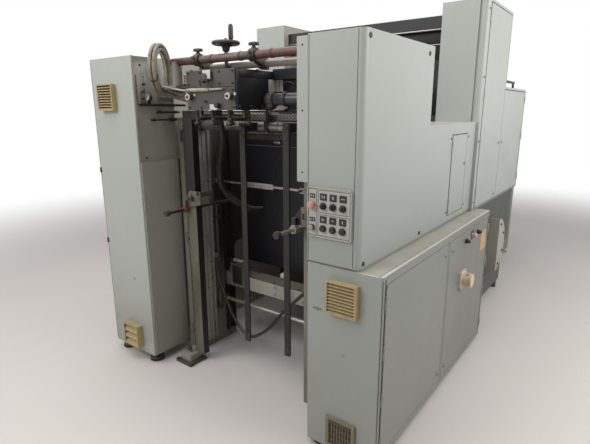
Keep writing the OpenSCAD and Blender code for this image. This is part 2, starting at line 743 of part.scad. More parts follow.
// Valve block on the left tower's inner side, into which the hoses drop, with the post that carries
// the upper cross tube's end
valve_z = 1740;
module air_valve() finish(mint_shade) {
    span([tower_in, -372], [158, 330], [valve_z - 12, valve_z]);
    span([tower_in, -484], [172, 320], [valve_z - 62, valve_z - 12 + eps]);
    for (k = [-1, 1], j = [-1, 1]) let (p = hose_drop(k, j))
        rod_z(p[0], p[1], [valve_z - eps, valve_z + 12], hose_d + 5);
    difference() {
        rod_z(post_x, tube_y, [valve_z - eps, tube_z], 56);
        rod_x([post_x - 40, post_x + 40], tube_y, tube_z, tube_d);
    }
    rod_z(-440, 296, [valve_z - eps, valve_z + 60], 34);
}

// Shelf on the tower's inner side: a rail with two upright bars and a gauge, and two light rods below
module tower_shelf() finish(oily) {
    span([tower_in, tower_in + 24], [47, 361], [1626, 1640]);
    for (y = [31, 80]) span([tower_in, tower_in + 12], [y, y + 12], [1636, 1794]);
    span([tower_in, tower_in + 24], [96, 106], [1639, 1700]);
    rod_y(tower_in + 26, [84, 100], 1676, 42);
    for (r = [[1548, 107, 314], [1592, 148, 320]]) {
        rod_y(tower_in + 14, [r[1], r[2]], r[0], 10);
        for (y = [r[1] + 20, r[2] - 30])
            span([tower_in, tower_in + 16], [y, y + 10], [r[0] - 8, r[0] + 8]);
    }
    rod_y(tower_in + 14, [243, 263], 1548, 24);
}

module blower_pipe() finish(black) {
    elbow_x = head_x + head_w / 2 + 50;
    y = 300;
    z = head_z + 54;
    rod_x([elbow_x, right_in], y, z, 62);
    for (x = [elbow_x + 18, elbow_x + 96]) rod_x([x, x + 16], y, z, 74);
    translate([elbow_x, y, z]) sphere(d = 72);
    rod_z(elbow_x, y, [head_z + 6, z], 54);
}

// Hoses in the bay: a thick one from the head to the front plate and a thin one that sags to the floor
duct_d = 44;
duct_ends = [[-162, 272, head_z], [-274, front_plate_y, 936]];
duct_route = [duct_ends[0] - [0, 0, 14], [-170, 292, 1534], [-208, 345, 1460], [-266, 394, 1385],
    [-322, 426, 1300], [-352, 446, 1215], [-360, 468, 1130], [-348, 520, 1052], [-320, 590, 992],
    [-290, 668, 950], duct_ends[1] - [0, 14, 0]];
sag_y = 452;
sag_ends = [[-425, sag_y, 640], [425, sag_y, 800]];
sag_route = [sag_ends[0] - [0, 0, 12], [-422, sag_y, 570], [-402, sag_y, 498], [-362, sag_y, 400],
    [-292, sag_y, 262], [-204, sag_y, 168], [-110, sag_y, 145], [20, sag_y, 235], [118, sag_y, 352],
    [212, sag_y, 455], [300, sag_y, 545], [370, sag_y, 625], [412, sag_y, 706], sag_ends[1] - [0, 0, 12]];
module bay_hoses() finish(black) {
    sweep(concat([duct_ends[0]], smooth(duct_route, 3), [duct_route[10], duct_ends[1]]), duct_d,
        [1, 0.2, 0], 10);
    sweep(concat([sag_ends[0]], smooth(sag_route, 2), [sag_route[13], sag_ends[1]]), 20);
}

// Dark plate on the head's right side with the box beam behind it, and the lower cross panel
module head_beam() finish(navy) {
    side = head_x + head_w / 2;
    span([side, side + 8], [head_y + 6, 401], [head_z, 1800]);
    span([side, right_in], [400, 430], [frame_h, 1800]);
    span([side + 8, right_in], [372, 430], [1760, 1812]);
    span([tower_in, side + 9], [400, 424], [1640, 1760]);
}

module feed_board() finish(steel) {
    board_t = 18;
    rod = 30;
    along_x([-bay_half + 60, bay_half - 60])
        polygon([[board_y[0], board_z[0]], [board_y[1], board_z[1]], [board_y[1], board_z[1] + board_t],
                 [board_y[0], board_z[0] + board_t]]);
    for (y = [board_y[0] + 60, board_y[1] - 180])
        rod_x([-bay_half, bay_half], y, board_z[0] - (y - board_y[0]) * board_fall - rod / 3, rod);
}

module cast_outline() {
    difference() {
        union() {
            translate([house_l + 40, pan_h]) square([unit_l - 80, 1500]);
            translate([house_l + 40, 1000]) square([tall_l + 120, cast_top - 1000]);
            translate([house_l + 40 + tall_l + 120, 1560 - eps]) difference() {
                square([200, 200]);
                translate([200, 200]) circle(200);
            }
        }
        soft([house_l + 260, house_l + 560], [200, 620], 60);
        soft([house_l + 760, house_l + 1100], [200, 620], 60);
    }
}
module unit_frames() finish(mint_shade) {
    mirrored() along_x([bay_half, bay_half + cast_t]) cast_outline();
    // Ties to the covers on both sides
    for (y = [house_l + 120, unit_end - 160], z = [1100, 1500])
        mirrored() span([bay_half + cast_t - eps, cover_in], [y, y + 60], [z, z + 60]);
}

module base_pan() finish(black) {
    along_z([0, pan_h]) soft([-pan_half, pan_half], [house_l + 40, unit_end - 20], 12);
}

// Plate, blanket and impression cylinders, each with its clamping channel and bearer rings
cyl_gap = 2;
module cylinders() finish(steel) {
    bearer = 18;
    step = cylinder_d + cyl_gap;
    for (c = [[origin_y, 985], [origin_y - 70, 985 + sqrt(step * step - 70 * 70)],
              [origin_y - 160, 985 + sqrt(step * step - 70 * 70) + sqrt(step * step - 90 * 90)]])
        difference() {
            union() {
                rod_x([-bay_half + bearer, bay_half - bearer], c[0], c[1], cylinder_d - 4);
                mirrored() rod_x([bay_half - bearer - 20, bay_half - bearer], c[0], c[1], cylinder_d);
                rod_x([-bay_half, bay_half], c[0], c[1], 90);
            }
            translate([0, c[0], c[1]]) rotate([-35, 0, 0])
                span([-bay_half + 60, bay_half - 60], [cylinder_d / 2 - 34, cylinder_d], [-16, 16]);
        }
}

module ink_rollers() finish(black) {
    // Each roller: its place behind the housings, its height and its diameter
    rollers = [[100, 1878, 84], [200, 1845, 76], [290, 1878, 84], [190, 1760, 70], [285, 1790, 90],
        [380, 1830, 76], [140, 1660, 84], [250, 1690, 76], [560, 1800, 90], [640, 1730, 76]];
    for (r = rollers) rod_x([-bay_half, bay_half], house_l + r[0], r[1], r[2]);
}

module top_beams() finish(black) {
    for (y = [house_l + 60, house_l + 420])
        span([-cover_in, cover_in], [y, y + 70], [tall_h - 152, tall_h - 62]);
    rod_x([-cover_in, cover_in], house_l + 260, tall_h - 202, 40);
    // Ink duct with its inclined blade, carried by the cast frames
    translate([0, house_l, cast_top]) along_x([-bay_half, bay_half])
        polygon([[120, 0], [320, -20], [320, 0], [250, 100], [230, 100], [290, 10], [120, 35]]);
}

module cover_outline() {
    translate([house_l, skirt_z]) square([unit_l, low_h - skirt_z]);
    translate([house_l, skirt_z]) square([tall_l, tall_h - skirt_z]);
}
module cover_hollow() {
    translate([post_y, skirt_z + 6]) square([tall_end - 16 - post_y, tall_h - 16 - skirt_z - 6]);
    translate([post_y, skirt_z + 6]) square([unit_end - 14 - post_y, low_h - 16 - skirt_z - 6]);
}
strip_w = 15;
post_w = 38;
module unit_cover_right() {
    finish(mint) difference() {
        along_x([cover_in, unit_side]) cover_outline();
        along_x([cover_in + 16, unit_side + 1]) cover_hollow();
        // Dark joint and round edge at the front corner
        span([unit_side - post_w - strip_w, unit_side - post_w], [house_l - 1, house_l + 10],
            [step_h + 2, tall_h + 1]);
        translate([unit_side, house_l, 0]) difference() {
            span([-20, 1], [-1, 20], [step_h + 2, tall_h + 1]);
            rod_z(-20, 20, [step_h + 1, tall_h + 2], 40);
        }
    }
    finish(mint) {
        knuckles(unit_side + 2, post_y + hinge_gap / 2, post_y - 4, tall_hinge_z);
        knuckles(unit_side + 2, unit_end - 14 - hinge_gap / 2, unit_end - 10, low_hinge_z);
        // Bow handle on top of the low part
        rod_y(unit_side - 26, [tall_end + 40, tall_end + 350], low_h + 44, 16);
        for (y = [tall_end + 60, tall_end + 330]) rod_z(unit_side - 26, y, [low_h - 1, low_h + 44], 14);
    }
}

module unit_cover_left() finish(mint) {
    difference() {
        along_x([-unit_side, -cover_in]) cover_outline();
        span([-unit_side - 1, -unit_side + 3], [tall_end - 4, tall_end], [skirt_z - 1, low_h + 1]);
        span([-unit_side - 1, -unit_side + 3], [post_y, post_y + 4], [skirt_z - 1, tall_h + 1]);
    }
}

module unit_door_front() finish(mint) {
    y = [post_y + hinge_gap, tall_end - 3];
    z = [unit_door_z, tall_h - 16 - door_gap];
    leaf(unit_side, [y[0], tall_end - 16 - door_gap], z);
    knuckles(unit_side + 2, post_y + hinge_gap / 2, y[0] + 4, above(tall_hinge_z));
    lock_x(unit_side, tall_end - 70, 1366);
    lock_x(unit_side, tall_end - 70, unit_door_z + 34);
}

module unit_door_rear() finish(mint) {
    y = [tall_end - 16, unit_end - 14 - hinge_gap];
    leaf(unit_side, y, [unit_door_z, low_h - 16 - door_gap]);
    knuckles(unit_side + 2, unit_end - 14 - hinge_gap / 2, y[1] - 4, above(low_hinge_z));
    lock_x(unit_side, tall_end + 30, 1366);
}

module base_panels() finish(mint_shade) {
    x = unit_side - 60;
    span([x - 16, x], [cab_l + 6, unit_end - 10], [pan_h, skirt_z]);
    span([-x, -x + 16], [house_l + 6, unit_end - 10], [pan_h, skirt_z]);
    for (y = [cab_l + 180, unit_end - 120])
        mirrored() span([pan_half, x], [y, y + 40], [0, pan_h + eps]);
}

// Half-round belt guard on the right base panel
module round_guard() finish(pale) {
    r = 222;
    translate([0, house_l + 770, 520]) along_x([unit_side - 60, unit_side + 20]) difference() {
        circle(r);
        translate([-r - 1, -r - 1]) square([r + 1, 2 * r + 2]);
    }
}

module delivery_outline() {
    y0 = unit_end;
    r = 260;
    difference() {
        union() {
            translate([y0, 40]) square([deliv_l - r, deliv_h - 40]);
            translate([y0, 40]) square([deliv_l, deliv_h - 40 - r]);
            translate([y0 + deliv_l - r, deliv_h - r]) circle(r);
        }
        soft([y0 + 420, y0 + deliv_l - 90], [120, 760], 60);
    }
}
module delivery_frames() finish(mint) {
    mirrored() along_x([deliv_half - 50, deliv_half]) delivery_outline();
    mirrored() for (y = [unit_end + 80, unit_end + deliv_l - 80]) {
        rod_z(deliv_half - 25, y, [0, 14], 76);
        rod_z(deliv_half - 25, y, [14 - eps, 41], 30);
    }
    for (y = [unit_end + 200, unit_end + deliv_l - 60]) rod_x([-deliv_half + 49, deliv_half - 49], y, 90, 50);
}

module delivery_hood() finish(mint) {
    y0 = unit_end;
    r = 260;
    along_x([-deliv_half + 50, deliv_half - 50]) difference() {
        union() {
            translate([y0, deliv_h - 180]) square([deliv_l - r, 170]);
            translate([y0 + deliv_l - r, deliv_h - 10 - (r - 10)]) circle(r - 10);
        }
        translate([y0 + 20, deliv_h - 600]) square([deliv_l, 600 - 180]);
        translate([y0 + 20, deliv_h - 200]) square([deliv_l - r, 174]);
        translate([y0 + deliv_l - r, deliv_h - r]) circle(r - 26);
    }
}

module delivery_table() finish(steel) {
    y = [unit_end + 450, unit_end + deliv_l - 110];
    difference() {
        span([-deliv_half + 60, deliv_half - 60], y, [150, 190]);
        for (i = [0 : 6]) span([-540 + i * 160, -500 + i * 160], [y[0] + 60, y[1] - 60], [149, 191]);
    }
    // Brackets that stand in the windows of the side frames
    mirrored() for (at = [y[0] + 60, y[1] - 120])
        span([deliv_half - 61, deliv_half - 20], [at, at + 60], [120, 200]);
}

left_tower();
left_housing();
tower_vents();
tower_feet();
right_housing();
right_strip();
lower_cabinet();
cabinet_feet();
cabinet_vents();
cabinet_door_front();
cabinet_door_rear();
power_inlet();
service_door();
control_panel();
control_buttons();
stop_button();
feeder_frames();
guide_columns();
column_feet();
lift_rails();
lift_beam();
frame_rods();
front_plate();
side_guides();
hanging_guides();
scale_bar();
cross_tubes();
tube_clamps();
suction_head();
suction_feet();
handwheel();
suction_hoses();
air_valve();
tower_shelf();
blower_pipe();
bay_hoses();
head_beam();
feed_board();
unit_frames();
base_pan();
cylinders();
ink_rollers();
top_beams();
unit_cover_right();
unit_cover_left();
unit_door_front();
unit_door_rear();
base_panels();
round_guard();
delivery_frames();
delivery_hood();
delivery_table();
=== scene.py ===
import json
import math
import bmesh
import bpy
import numpy as np
from mathutils import Matrix, Vector


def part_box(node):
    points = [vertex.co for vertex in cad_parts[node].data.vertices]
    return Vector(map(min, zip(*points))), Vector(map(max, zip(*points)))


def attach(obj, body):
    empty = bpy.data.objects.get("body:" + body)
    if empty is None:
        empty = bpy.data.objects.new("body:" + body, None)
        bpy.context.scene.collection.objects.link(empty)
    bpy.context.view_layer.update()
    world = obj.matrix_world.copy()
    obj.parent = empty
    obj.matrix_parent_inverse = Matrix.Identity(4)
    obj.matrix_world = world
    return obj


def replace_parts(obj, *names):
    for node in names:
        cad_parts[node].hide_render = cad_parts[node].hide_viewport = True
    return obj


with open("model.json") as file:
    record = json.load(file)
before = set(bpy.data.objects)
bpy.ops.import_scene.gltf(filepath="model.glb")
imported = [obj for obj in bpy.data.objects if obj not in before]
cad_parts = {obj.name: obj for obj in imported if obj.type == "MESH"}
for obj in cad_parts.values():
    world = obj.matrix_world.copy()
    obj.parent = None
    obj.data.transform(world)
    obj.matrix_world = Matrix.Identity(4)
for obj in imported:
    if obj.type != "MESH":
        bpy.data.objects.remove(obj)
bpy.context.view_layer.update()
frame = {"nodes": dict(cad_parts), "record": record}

# Places and sizes are millimetres as in the part's source, apart from the section on camera, floor and
# light: x from the centre line, y from the towers' front faces, z from the floor. Shape.build turns them
# into metres in the shared frame.
MM = 0.001
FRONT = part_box("left_tower")[0].y
LOW = 0
HIGH = 1


def limits(node):
    """Lowest and highest corner of a CAD node."""
    low, high = (np.array(c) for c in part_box(node))
    return (low - (0, FRONT, 0)) / MM, (high - (0, FRONT, 0)) / MM


def edge(node, side, letter):
    """One limit of a CAD node along an axis, to a tenth of a millimetre."""
    return round(float(limits(node)[side]["xyz".index(letter)]), 1)


def metres(points):
    return np.asarray(points, float) * MM + (0, FRONT, 0)


# Shapes

class Shape:
    """Points (n, 3) with faces, kept as index arrays (faces, corners), one array for each kind."""

    def __init__(self, points, *faces):
        self.points = np.asarray(points, float).reshape(-1, 3)
        self.faces = [np.asarray(f, int) for f in faces if len(f)]

    def __add__(self, other):
        shift = len(self.points)
        return Shape(np.concatenate([self.points, other.points]),
                     *self.faces, *[f + shift for f in other.faces])

    def moved(self, x=0, y=0, z=0):
        return Shape(self.points + (x, y, z), *self.faces)

    def turned(self, axis, angle, about=(0, 0, 0)):
        spin = np.array(Matrix.Rotation(math.radians(angle), 3, axis))
        return Shape((self.points - about) @ spin.T + about, *self.faces)

    def facing(self, way):
        """A shape that stands on z = 0, turned to stand out along another direction."""
        return self.turned(*{"+z": ("Z", 0), "+x": ("Y", 90), "-y": ("X", 90)}[way])

    def build(self, name, slot, body="press", look=None, crease=35):
        """Welds the points, turns the faces outwards and makes the object, smooth below the crease
        angle, in the record's material slot or in a look of its own."""
        mesh = bpy.data.meshes.new(name)
        corners = np.concatenate([f.ravel() for f in self.faces])
        counts = np.concatenate([np.full(len(f), f.shape[1]) for f in self.faces])
        mesh.vertices.add(len(self.points))
        mesh.vertices.foreach_set("co", metres(self.points).ravel())
        mesh.loops.add(len(corners))
        mesh.loops.foreach_set("vertex_index", corners)
        mesh.polygons.add(len(counts))
        mesh.polygons.foreach_set("loop_start", np.cumsum(counts) - counts)
        mesh.update(calc_edges=True)
        work = bmesh.new()
        work.from_mesh(mesh)
        bmesh.ops.remove_doubles(work, verts=work.verts, dist=2e-6)
        bmesh.ops.dissolve_degenerate(work, edges=work.edges, dist=1e-6)
        bmesh.ops.recalc_face_normals(work, faces=work.faces)
        work.to_mesh(mesh)
        work.free()
        mesh.polygons.foreach_set("use_smooth", np.ones(len(mesh.polygons), bool))
        mesh.set_sharp_from_angle(angle=math.radians(crease))
        mesh.materials.append(finish[look or slot])
        obj = bpy.data.objects.new(name, mesh)
        bpy.context.scene.collection.objects.link(obj)
        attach(obj, body)
        return obj


def join(shapes):
    shapes = list(shapes)
    total = shapes[0]
    for shape in shapes[1:]:
        total = total + shape
    return total


def spread(shape, places):
    """One copy of the shape at each place (n, 3)."""
    return join(shape.moved(*p) for p in places)


def circle(count):
    """Angles at even steps once round."""
    return np.arange(count) * 2 * np.pi / count


def ray(angle):
    """Unit vectors (cos a, sin a) of the angles."""
    return np.stack([np.cos(angle), np.sin(angle)], -1)


def distance(path):
    """Length along a path up to each of its points."""
    return np.concatenate([[0], np.cumsum(np.linalg.norm(np.diff(path, axis=0), axis=1))])


def skin(rings, ends=True):
    """Quads between successive rings, an array (rings, points, 3), with a flat cap on each end."""
    count, size = rings.shape[:2]
    i = np.arange(count - 1)[:, None]
    j = np.arange(size)[None, :]
    k = (j + 1) % size
    quads = np.stack([i * size + j, i * size + k, (i + 1) * size + k, (i + 1) * size + j], -1)
    quads = quads.reshape(-1, 4)
    caps = [np.arange(size)[None, ::-1], (count - 1) * size + np.arange(size)[None]] if ends else []
    return Shape(rings, quads, *caps)


def lifted(ring, height):
    """Points (n, 2) of an outline at a height."""
    return np.column_stack([ring, np.full(len(ring), height)])


def stacked(ring, levels):
    """Form of one outline (n, 2), drawn at the scale and height of each level."""
    return skin(np.stack([lifted(scale * ring, height) for scale, height in levels]))


def laid(rings, plane, at):
    """Rings drawn flat, laid on the plane at a place along its normal: xz is a front face and its
    heights grow to -y, yz a side face with heights to +x, xy a top face with heights to +z."""
    order, sign, out = {"xz": ([0, 2, 1], (1, -1, 1), (0, 1, 0)), "yz": ([2, 0, 1], (1, 1, 1), (1, 0, 0)),
                        "xy": ([0, 1, 2], (1, 1, 1), (0, 0, 1))}[plane]
    return rings[..., order] * sign + at * np.array(out)


def lathe(profile, sides=32, axis="Z", ends=True):
    """Turned form: each (radius, height) of the profile goes round the axis, x = r cos a, y = r sin a."""
    solid = skin(np.stack([lifted(r * ray(circle(sides)), h) for r, h in profile]), ends)
    return {"Z": solid, "X": solid.turned("Y", 90), "Y": solid.turned("X", -90)}[axis]


def eased(radius, length, ease=1.0):
    """Profile of a rod from height 0 to its length, both edges cut back by the ease."""
    return [(radius - ease, 0), (radius - 0.3 * ease, 0.3 * ease), (radius, ease), (radius, length - ease),
            (radius - 0.3 * ease, length - 0.3 * ease), (radius - ease, length)]


def rod(start, axis, length, diameter, ease=1.0):
    return lathe(eased(diameter / 2, length, ease), 24, axis).moved(*start)


def tube(path, radius, side=(0, 1, 0), sides=12):
    """Tube along a path (n, 3): each ring stands square to the path's direction t, on the unit
    vectors u = t x side and v = t x u; the radius is a number or one for each point."""
    path = np.asarray(path, float)
    t = np.gradient(path, axis=0)
    t /= np.linalg.norm(t, axis=1, keepdims=True)
    u = np.cross(t, side)
    u /= np.linalg.norm(u, axis=1, keepdims=True)
    v = np.cross(t, u)
    a = circle(sides)[None, :, None]
    ring = np.cos(a) * u[:, None] + np.sin(a) * v[:, None]
    return skin(path[:, None] + np.broadcast_to(radius, len(path))[:, None, None] * ring)


def curve(points, steps=12):
    """Catmull-Rom curve through the points: on each stretch a cubic whose ends run parallel to the
    chords of their neighbours."""
    p = np.asarray(points, float)
    p = np.concatenate([[2 * p[0] - p[1]], p, [2 * p[-1] - p[-2]]])
    s = (np.arange(steps) / steps)[None, :, None]
    a, b, c, d = (p[i:len(p) - 3 + i, None] for i in range(4))
    line = 0.5 * (2 * b + (c - a) * s + (2 * a - 5 * b + 4 * c - d) * s**2 + (3 * b - a - 3 * c + d) * s**3)
    return np.concatenate([line.reshape(-1, 3), p[-2:-1]])


def even(path, step):
    """The same line with points at even steps along its length."""
    run = distance(path)
    at = np.linspace(0, run[-1], max(2, round(run[-1] / step) + 1))
    return np.stack([np.interp(at, run, path[:, i]) for i in range(3)], -1)


def block(x, y, z, r=1.5):
    """Block between limits with round edges: a ball of radius r cut into eight, pushed to the corners."""
    steps = 2
    low, high = np.array([x, y, z], float).T
    quarter = np.linspace(0, np.pi / 2, steps + 1)
    lon = np.concatenate([quarter + k * np.pi / 2 for k in range(4)])
    lat = np.concatenate([quarter - np.pi / 2, quarter])
    lat, lon = np.meshgrid(lat, lon, indexing="ij")
    ball = np.stack([np.cos(lat) * np.cos(lon), np.cos(lat) * np.sin(lon), np.sin(lat)], -1)
    quadrant = np.repeat(np.arange(4), steps + 1)
    right = np.isin(quadrant, (0, 3))[None, :]
    back = np.isin(quadrant, (0, 1))[None, :]
    top = (np.arange(2 * steps + 2) > steps)[:, None]
    corner = np.stack(np.broadcast_arrays(np.where(right, high[0] - r, low[0] + r),
                                          np.where(back, high[1] - r, low[1] + r),
                                          np.where(top, high[2] - r, low[2] + r)), -1)
    return skin(corner + r * ball)


def outline(width, height, radius):
    """Rectangle round its centre with round corners of six points each, as points (n, 2)."""
    corner = radius * ray(np.linspace(0, np.pi / 2, 6))
    w, h = width / 2 - radius, height / 2 - radius
    turned = corner[::-1]
    return np.concatenate([corner + (w, h), turned * (-1, 1) + (-w, h), -corner - (w, h),
                           turned * (1, -1) + (w, -h)])


def plate(shape, thickness, ease=0.6, plane="xz", at=0):
    """Sheet of an outline (n, 2) from `at` along the plane's normal: four rings, the outer two cut
    back by the ease along the outline's own normals."""
    shape = np.asarray(shape, float)
    run = np.roll(shape, -1, 0) - np.roll(shape, 1, 0)
    normal = np.stack([run[:, 1], -run[:, 0]], -1) / np.maximum(np.linalg.norm(run, axis=1), 1e-9)[:, None]
    back = shape - ease * normal
    rings = [lifted(back, 0), lifted(shape, min(ease, thickness / 2)),
             lifted(shape, max(thickness - ease, thickness / 2)), lifted(back, thickness)]
    return skin(laid(np.stack(rings), plane, at))


# Finishes

def linear(rgb):
    """sRGB 0 to 255 as linear colour."""
    c = np.array(rgb, float) / 255
    return tuple(np.where(c <= 0.04045, c / 12.92, ((c + 0.055) / 1.055) ** 2.4)) + (1.0,)


class Finish:
    """One material, built up in layers: each call mixes a colour or adds to the bump and roughness."""

    def __init__(self, name, colour, rough=0.5, metal=0.0):
        self.material = bpy.data.materials.new(name)
        self.material.use_nodes = True
        self.tree = self.material.node_tree
        self.shader = self.tree.nodes["Principled BSDF"]
        self.shader.inputs["Metallic"].default_value = metal
        self.shader.inputs["Roughness"].default_value = rough
        self.place = self.node("ShaderNodeTexCoord").outputs["Object"]
        self.colour = linear(colour)
        self.height = None
        self.base = None

    def node(self, kind, settings=None, **inputs):
        """A node with its settings and inputs; i0, i1 and so on stand for inputs by their number."""
        made = self.tree.nodes.new(kind)
        for key, value in (settings or {}).items():
            setattr(made, key, value)
        for key, value in inputs.items():
            self.feed(made.inputs[int(key[1:]) if key[1:].isdigit() else key], value)
        return made

    def feed(self, socket, value):
        if isinstance(value, bpy.types.NodeSocket):
            self.tree.links.new(value, socket)
        else:
            socket.default_value = value

    def maths(self, operation, a, b, clamp=False):
        settings = {"operation": operation, "use_clamp": clamp}
        return self.node("ShaderNodeMath", settings, i0=a, i1=b).outputs[0]

    def both(self, a, b):
        """Two masks multiplied."""
        return self.maths("MULTIPLY", a, b)

    def vector(self, operation, a, b=(0, 0, 0)):
        made = self.node("ShaderNodeVectorMath", {"operation": operation}, i0=a, i1=b)
        return made.outputs["Value" if operation in ("LENGTH", "DOT_PRODUCT") else "Vector"]

    def span(self, value, start, end, to=(0.0, 1.0)):
        """0 before the start, 1 past the end, even between; the start may be the higher of the two."""
        made = self.node("ShaderNodeMapRange", {"interpolation_type": "SMOOTHSTEP"})
        for socket, number in zip(made.inputs, (value, start, end, *to)):
            self.feed(socket, number)
        return made.outputs[0]

    def noise(self, scale, detail=4.0, stretch=(1, 1, 1), low=0.0, high=1.0):
        """Cloudy pattern, scale in turns for each metre, stretched along an axis where that is under 1."""
        place = self.place
        if stretch != (1, 1, 1):
            place = self.node("ShaderNodeMapping", Vector=place, Scale=stretch).outputs[0]
        made = self.node("ShaderNodeTexNoise", Vector=place, Scale=scale, Detail=detail, Roughness=0.55)
        value = made.outputs["Fac"]
        return value if (low, high) == (0.0, 1.0) else self.span(value, low, high)

    def axis(self, letter, source):
        return self.node("ShaderNodeSeparateXYZ", Vector=source).outputs[letter.upper()]

    def toward(self, letter, start, end):
        """Mask by how far the face looks along an axis, -1 to 1."""
        normal = self.node("ShaderNodeNewGeometry").outputs["Normal"]
        return self.span(self.axis(letter, normal), start, end)

    def along(self, letter, start, end):
        """Mask by the place along an axis, in millimetres."""
        shift = FRONT if letter == "y" else 0
        return self.span(self.axis(letter, self.place), start * MM + shift, end * MM + shift)

    def between(self, letter, low, high, soft=2.0):
        """1 between two places along an axis, in millimetres."""
        return self.both(self.along(letter, low - soft, low), self.along(letter, high + soft, high))

    def layer(self, mask, colour, amount=1.0):
        """Mixes a colour over what lies below where the mask is 1."""
        made = self.node("ShaderNodeMix", {"data_type": "RGBA"}, Factor=self.both(mask, amount),
                         i6=self.colour, i7=linear(colour))
        self.colour = made.outputs[2]
        return self

    def clouds(self, scale, detail, low, high, colour, amount):
        """A layer in the clouds of a noise, between two of its values."""
        return self.layer(self.noise(scale, detail, low=low, high=high), colour, amount)

    def raised(self, value, depth):
        """Adds a height in metres to the bump."""
        value = self.both(value, depth)
        self.height = value if self.height is None else self.maths("ADD", self.height, value)
        return self

    def grained(self, scale, detail, depth):
        return self.raised(self.noise(scale, detail), depth)

    def rough(self, value):
        self.feed(self.shader.inputs["Roughness"], value)
        return self

    def rounded(self, radius):
        """Normals of the surface with its edges rounded by millimetres."""
        return self.node("ShaderNodeBevel", {"samples": 4}, Radius=radius * MM).outputs[0]

    def edges(self, radius):
        """Rounds the edges in the light."""
        self.base = self.rounded(radius)
        return self

    def worn(self, colour, amount=0.6, radius=2.5):
        """Edges rubbed bare in patches: where a rounded normal leaves the true one."""
        flat = self.node("ShaderNodeNewGeometry").outputs["Normal"]
        turn = self.span(self.vector("DOT_PRODUCT", flat, self.rounded(radius)), 0.995, 0.93)
        return self.layer(self.both(turn, self.noise(28, low=0.45, high=0.62)), colour, amount)

    def done(self):
        self.feed(self.shader.inputs["Base Color"], self.colour)
        normal = self.base
        if self.height is not None:
            bump = self.node("ShaderNodeBump", Height=self.height, Strength=1.0, Distance=1.0)
            if normal:
                self.feed(bump.inputs["Normal"], normal)
            normal = bump.outputs[0]
        if normal:
            self.feed(self.shader.inputs["Normal"], normal)
        return self.material


DUST = (150, 138, 118)
GRIME = (92, 82, 68)
SOOT = (40, 36, 32)
MINT = (176, 180, 174)


def dusted(f, colour=DUST, amount=0.7, patch=9):
    """Dust on faces that look up, thinner in wiped patches."""
    wiped = f.span(f.noise(patch, 5), 0.3, 0.65, (0.55, 1.0))
    return f.layer(f.both(f.toward("z", 0.55, 0.95), wiped), colour, amount)


def grimed(f, amount):
    """Grime that thickens towards the floor, broken up in clouds."""
    return f.layer(f.both(f.along("z", 700, 20), f.noise(5, 6, low=0.25, high=0.75)), GRIME, amount)


def streaked(f, colour=GRIME, amount=0.25):
    """Runs of dirty oil down the upright faces."""
    runs = f.noise(26, 3, stretch=(1, 1, 0.035), low=0.54, high=0.74)
    runs = f.both(runs, f.noise(1.7, 2, low=0.35, high=0.65))
    return f.layer(f.both(f.toward("z", 0.5, 0.1), runs), colour, amount)


def enamel(name, colour, rough=0.42, dirt=1.0, dust=0.7, chips=0.5):
    """Paint with clouds in its colour, dirt, dust on top and chipped edges; done() makes the material."""
    f = Finish(name, colour, rough)
    f.clouds(1.1, 2, 0.2, 0.8, np.multiply(colour, (0.95, 0.955, 0.94)), 0.6)
    f.clouds(7, 6, 0.5, 0.85, np.multiply(colour, (0.88, 0.87, 0.83)), 0.09 * dirt)
    streaked(f, amount=0.04 * dirt)
    grimed(f, 0.28 * dirt)
    f.clouds(150, 3, 0.72, 0.78, GRIME, 0.3 * dirt)
    dusted(f, amount=dust)
    f.worn((112, 104, 92), chips)
    f.rough(f.span(f.noise(4, 3), 0.3, 0.75, (rough, rough + 0.07)))
    f.grained(420, 2, 0.00006).grained(2.4, 1, 0.0006)
    return f.edges(2.2)


def plastic(name, colour, rough=0.5, dust=0.5):
    f = Finish(name, colour, rough)
    f.clouds(22, 5, 0.45, 0.75, np.multiply(colour, (0.84, 0.80, 0.72)), 0.6)
    dusted(f, amount=dust, patch=16)
    f.rough(f.span(f.noise(30, 4), 0.3, 0.7, (rough - 0.08, rough + 0.12)))
    return f.grained(900, 2, 0.00005).edges(0.8).done()


def steel(name, colour, rough, metal, rust, dust, stained):
    f = Finish(name, colour, rough, metal)
    f.clouds(7, 6, 0.42, 0.74, SOOT, stained)
    f.clouds(34, 6, 0.58, 0.74, (110, 66, 40), rust)
    dusted(f, amount=dust, patch=14)
    line = f.noise(30, 4, stretch=(1, 40, 40))
    f.rough(f.span(line, 0.25, 0.75, (rough - 0.08, rough + 0.22)))
    return f.raised(line, 0.00005).grained(160, 3, 0.00010).edges(1.2).done()


def spot(f, x, z, wide, high):
    """A mark on the front face round x, z: 1 inside an ellipse with a torn edge, 0 behind 60 mm."""
    depth = 60
    place = f.vector("SUBTRACT", f.place, tuple(metres((x, 0, z))))
    away = f.vector("LENGTH", f.vector("MULTIPLY", place, (1 / (wide * MM), 0.0, 1 / (high * MM))))
    away = f.maths("ADD", away, f.both(f.noise(130, 3), 0.9))
    return f.both(f.span(away, 1.5, 1.2), f.along("y", depth + 1, depth))


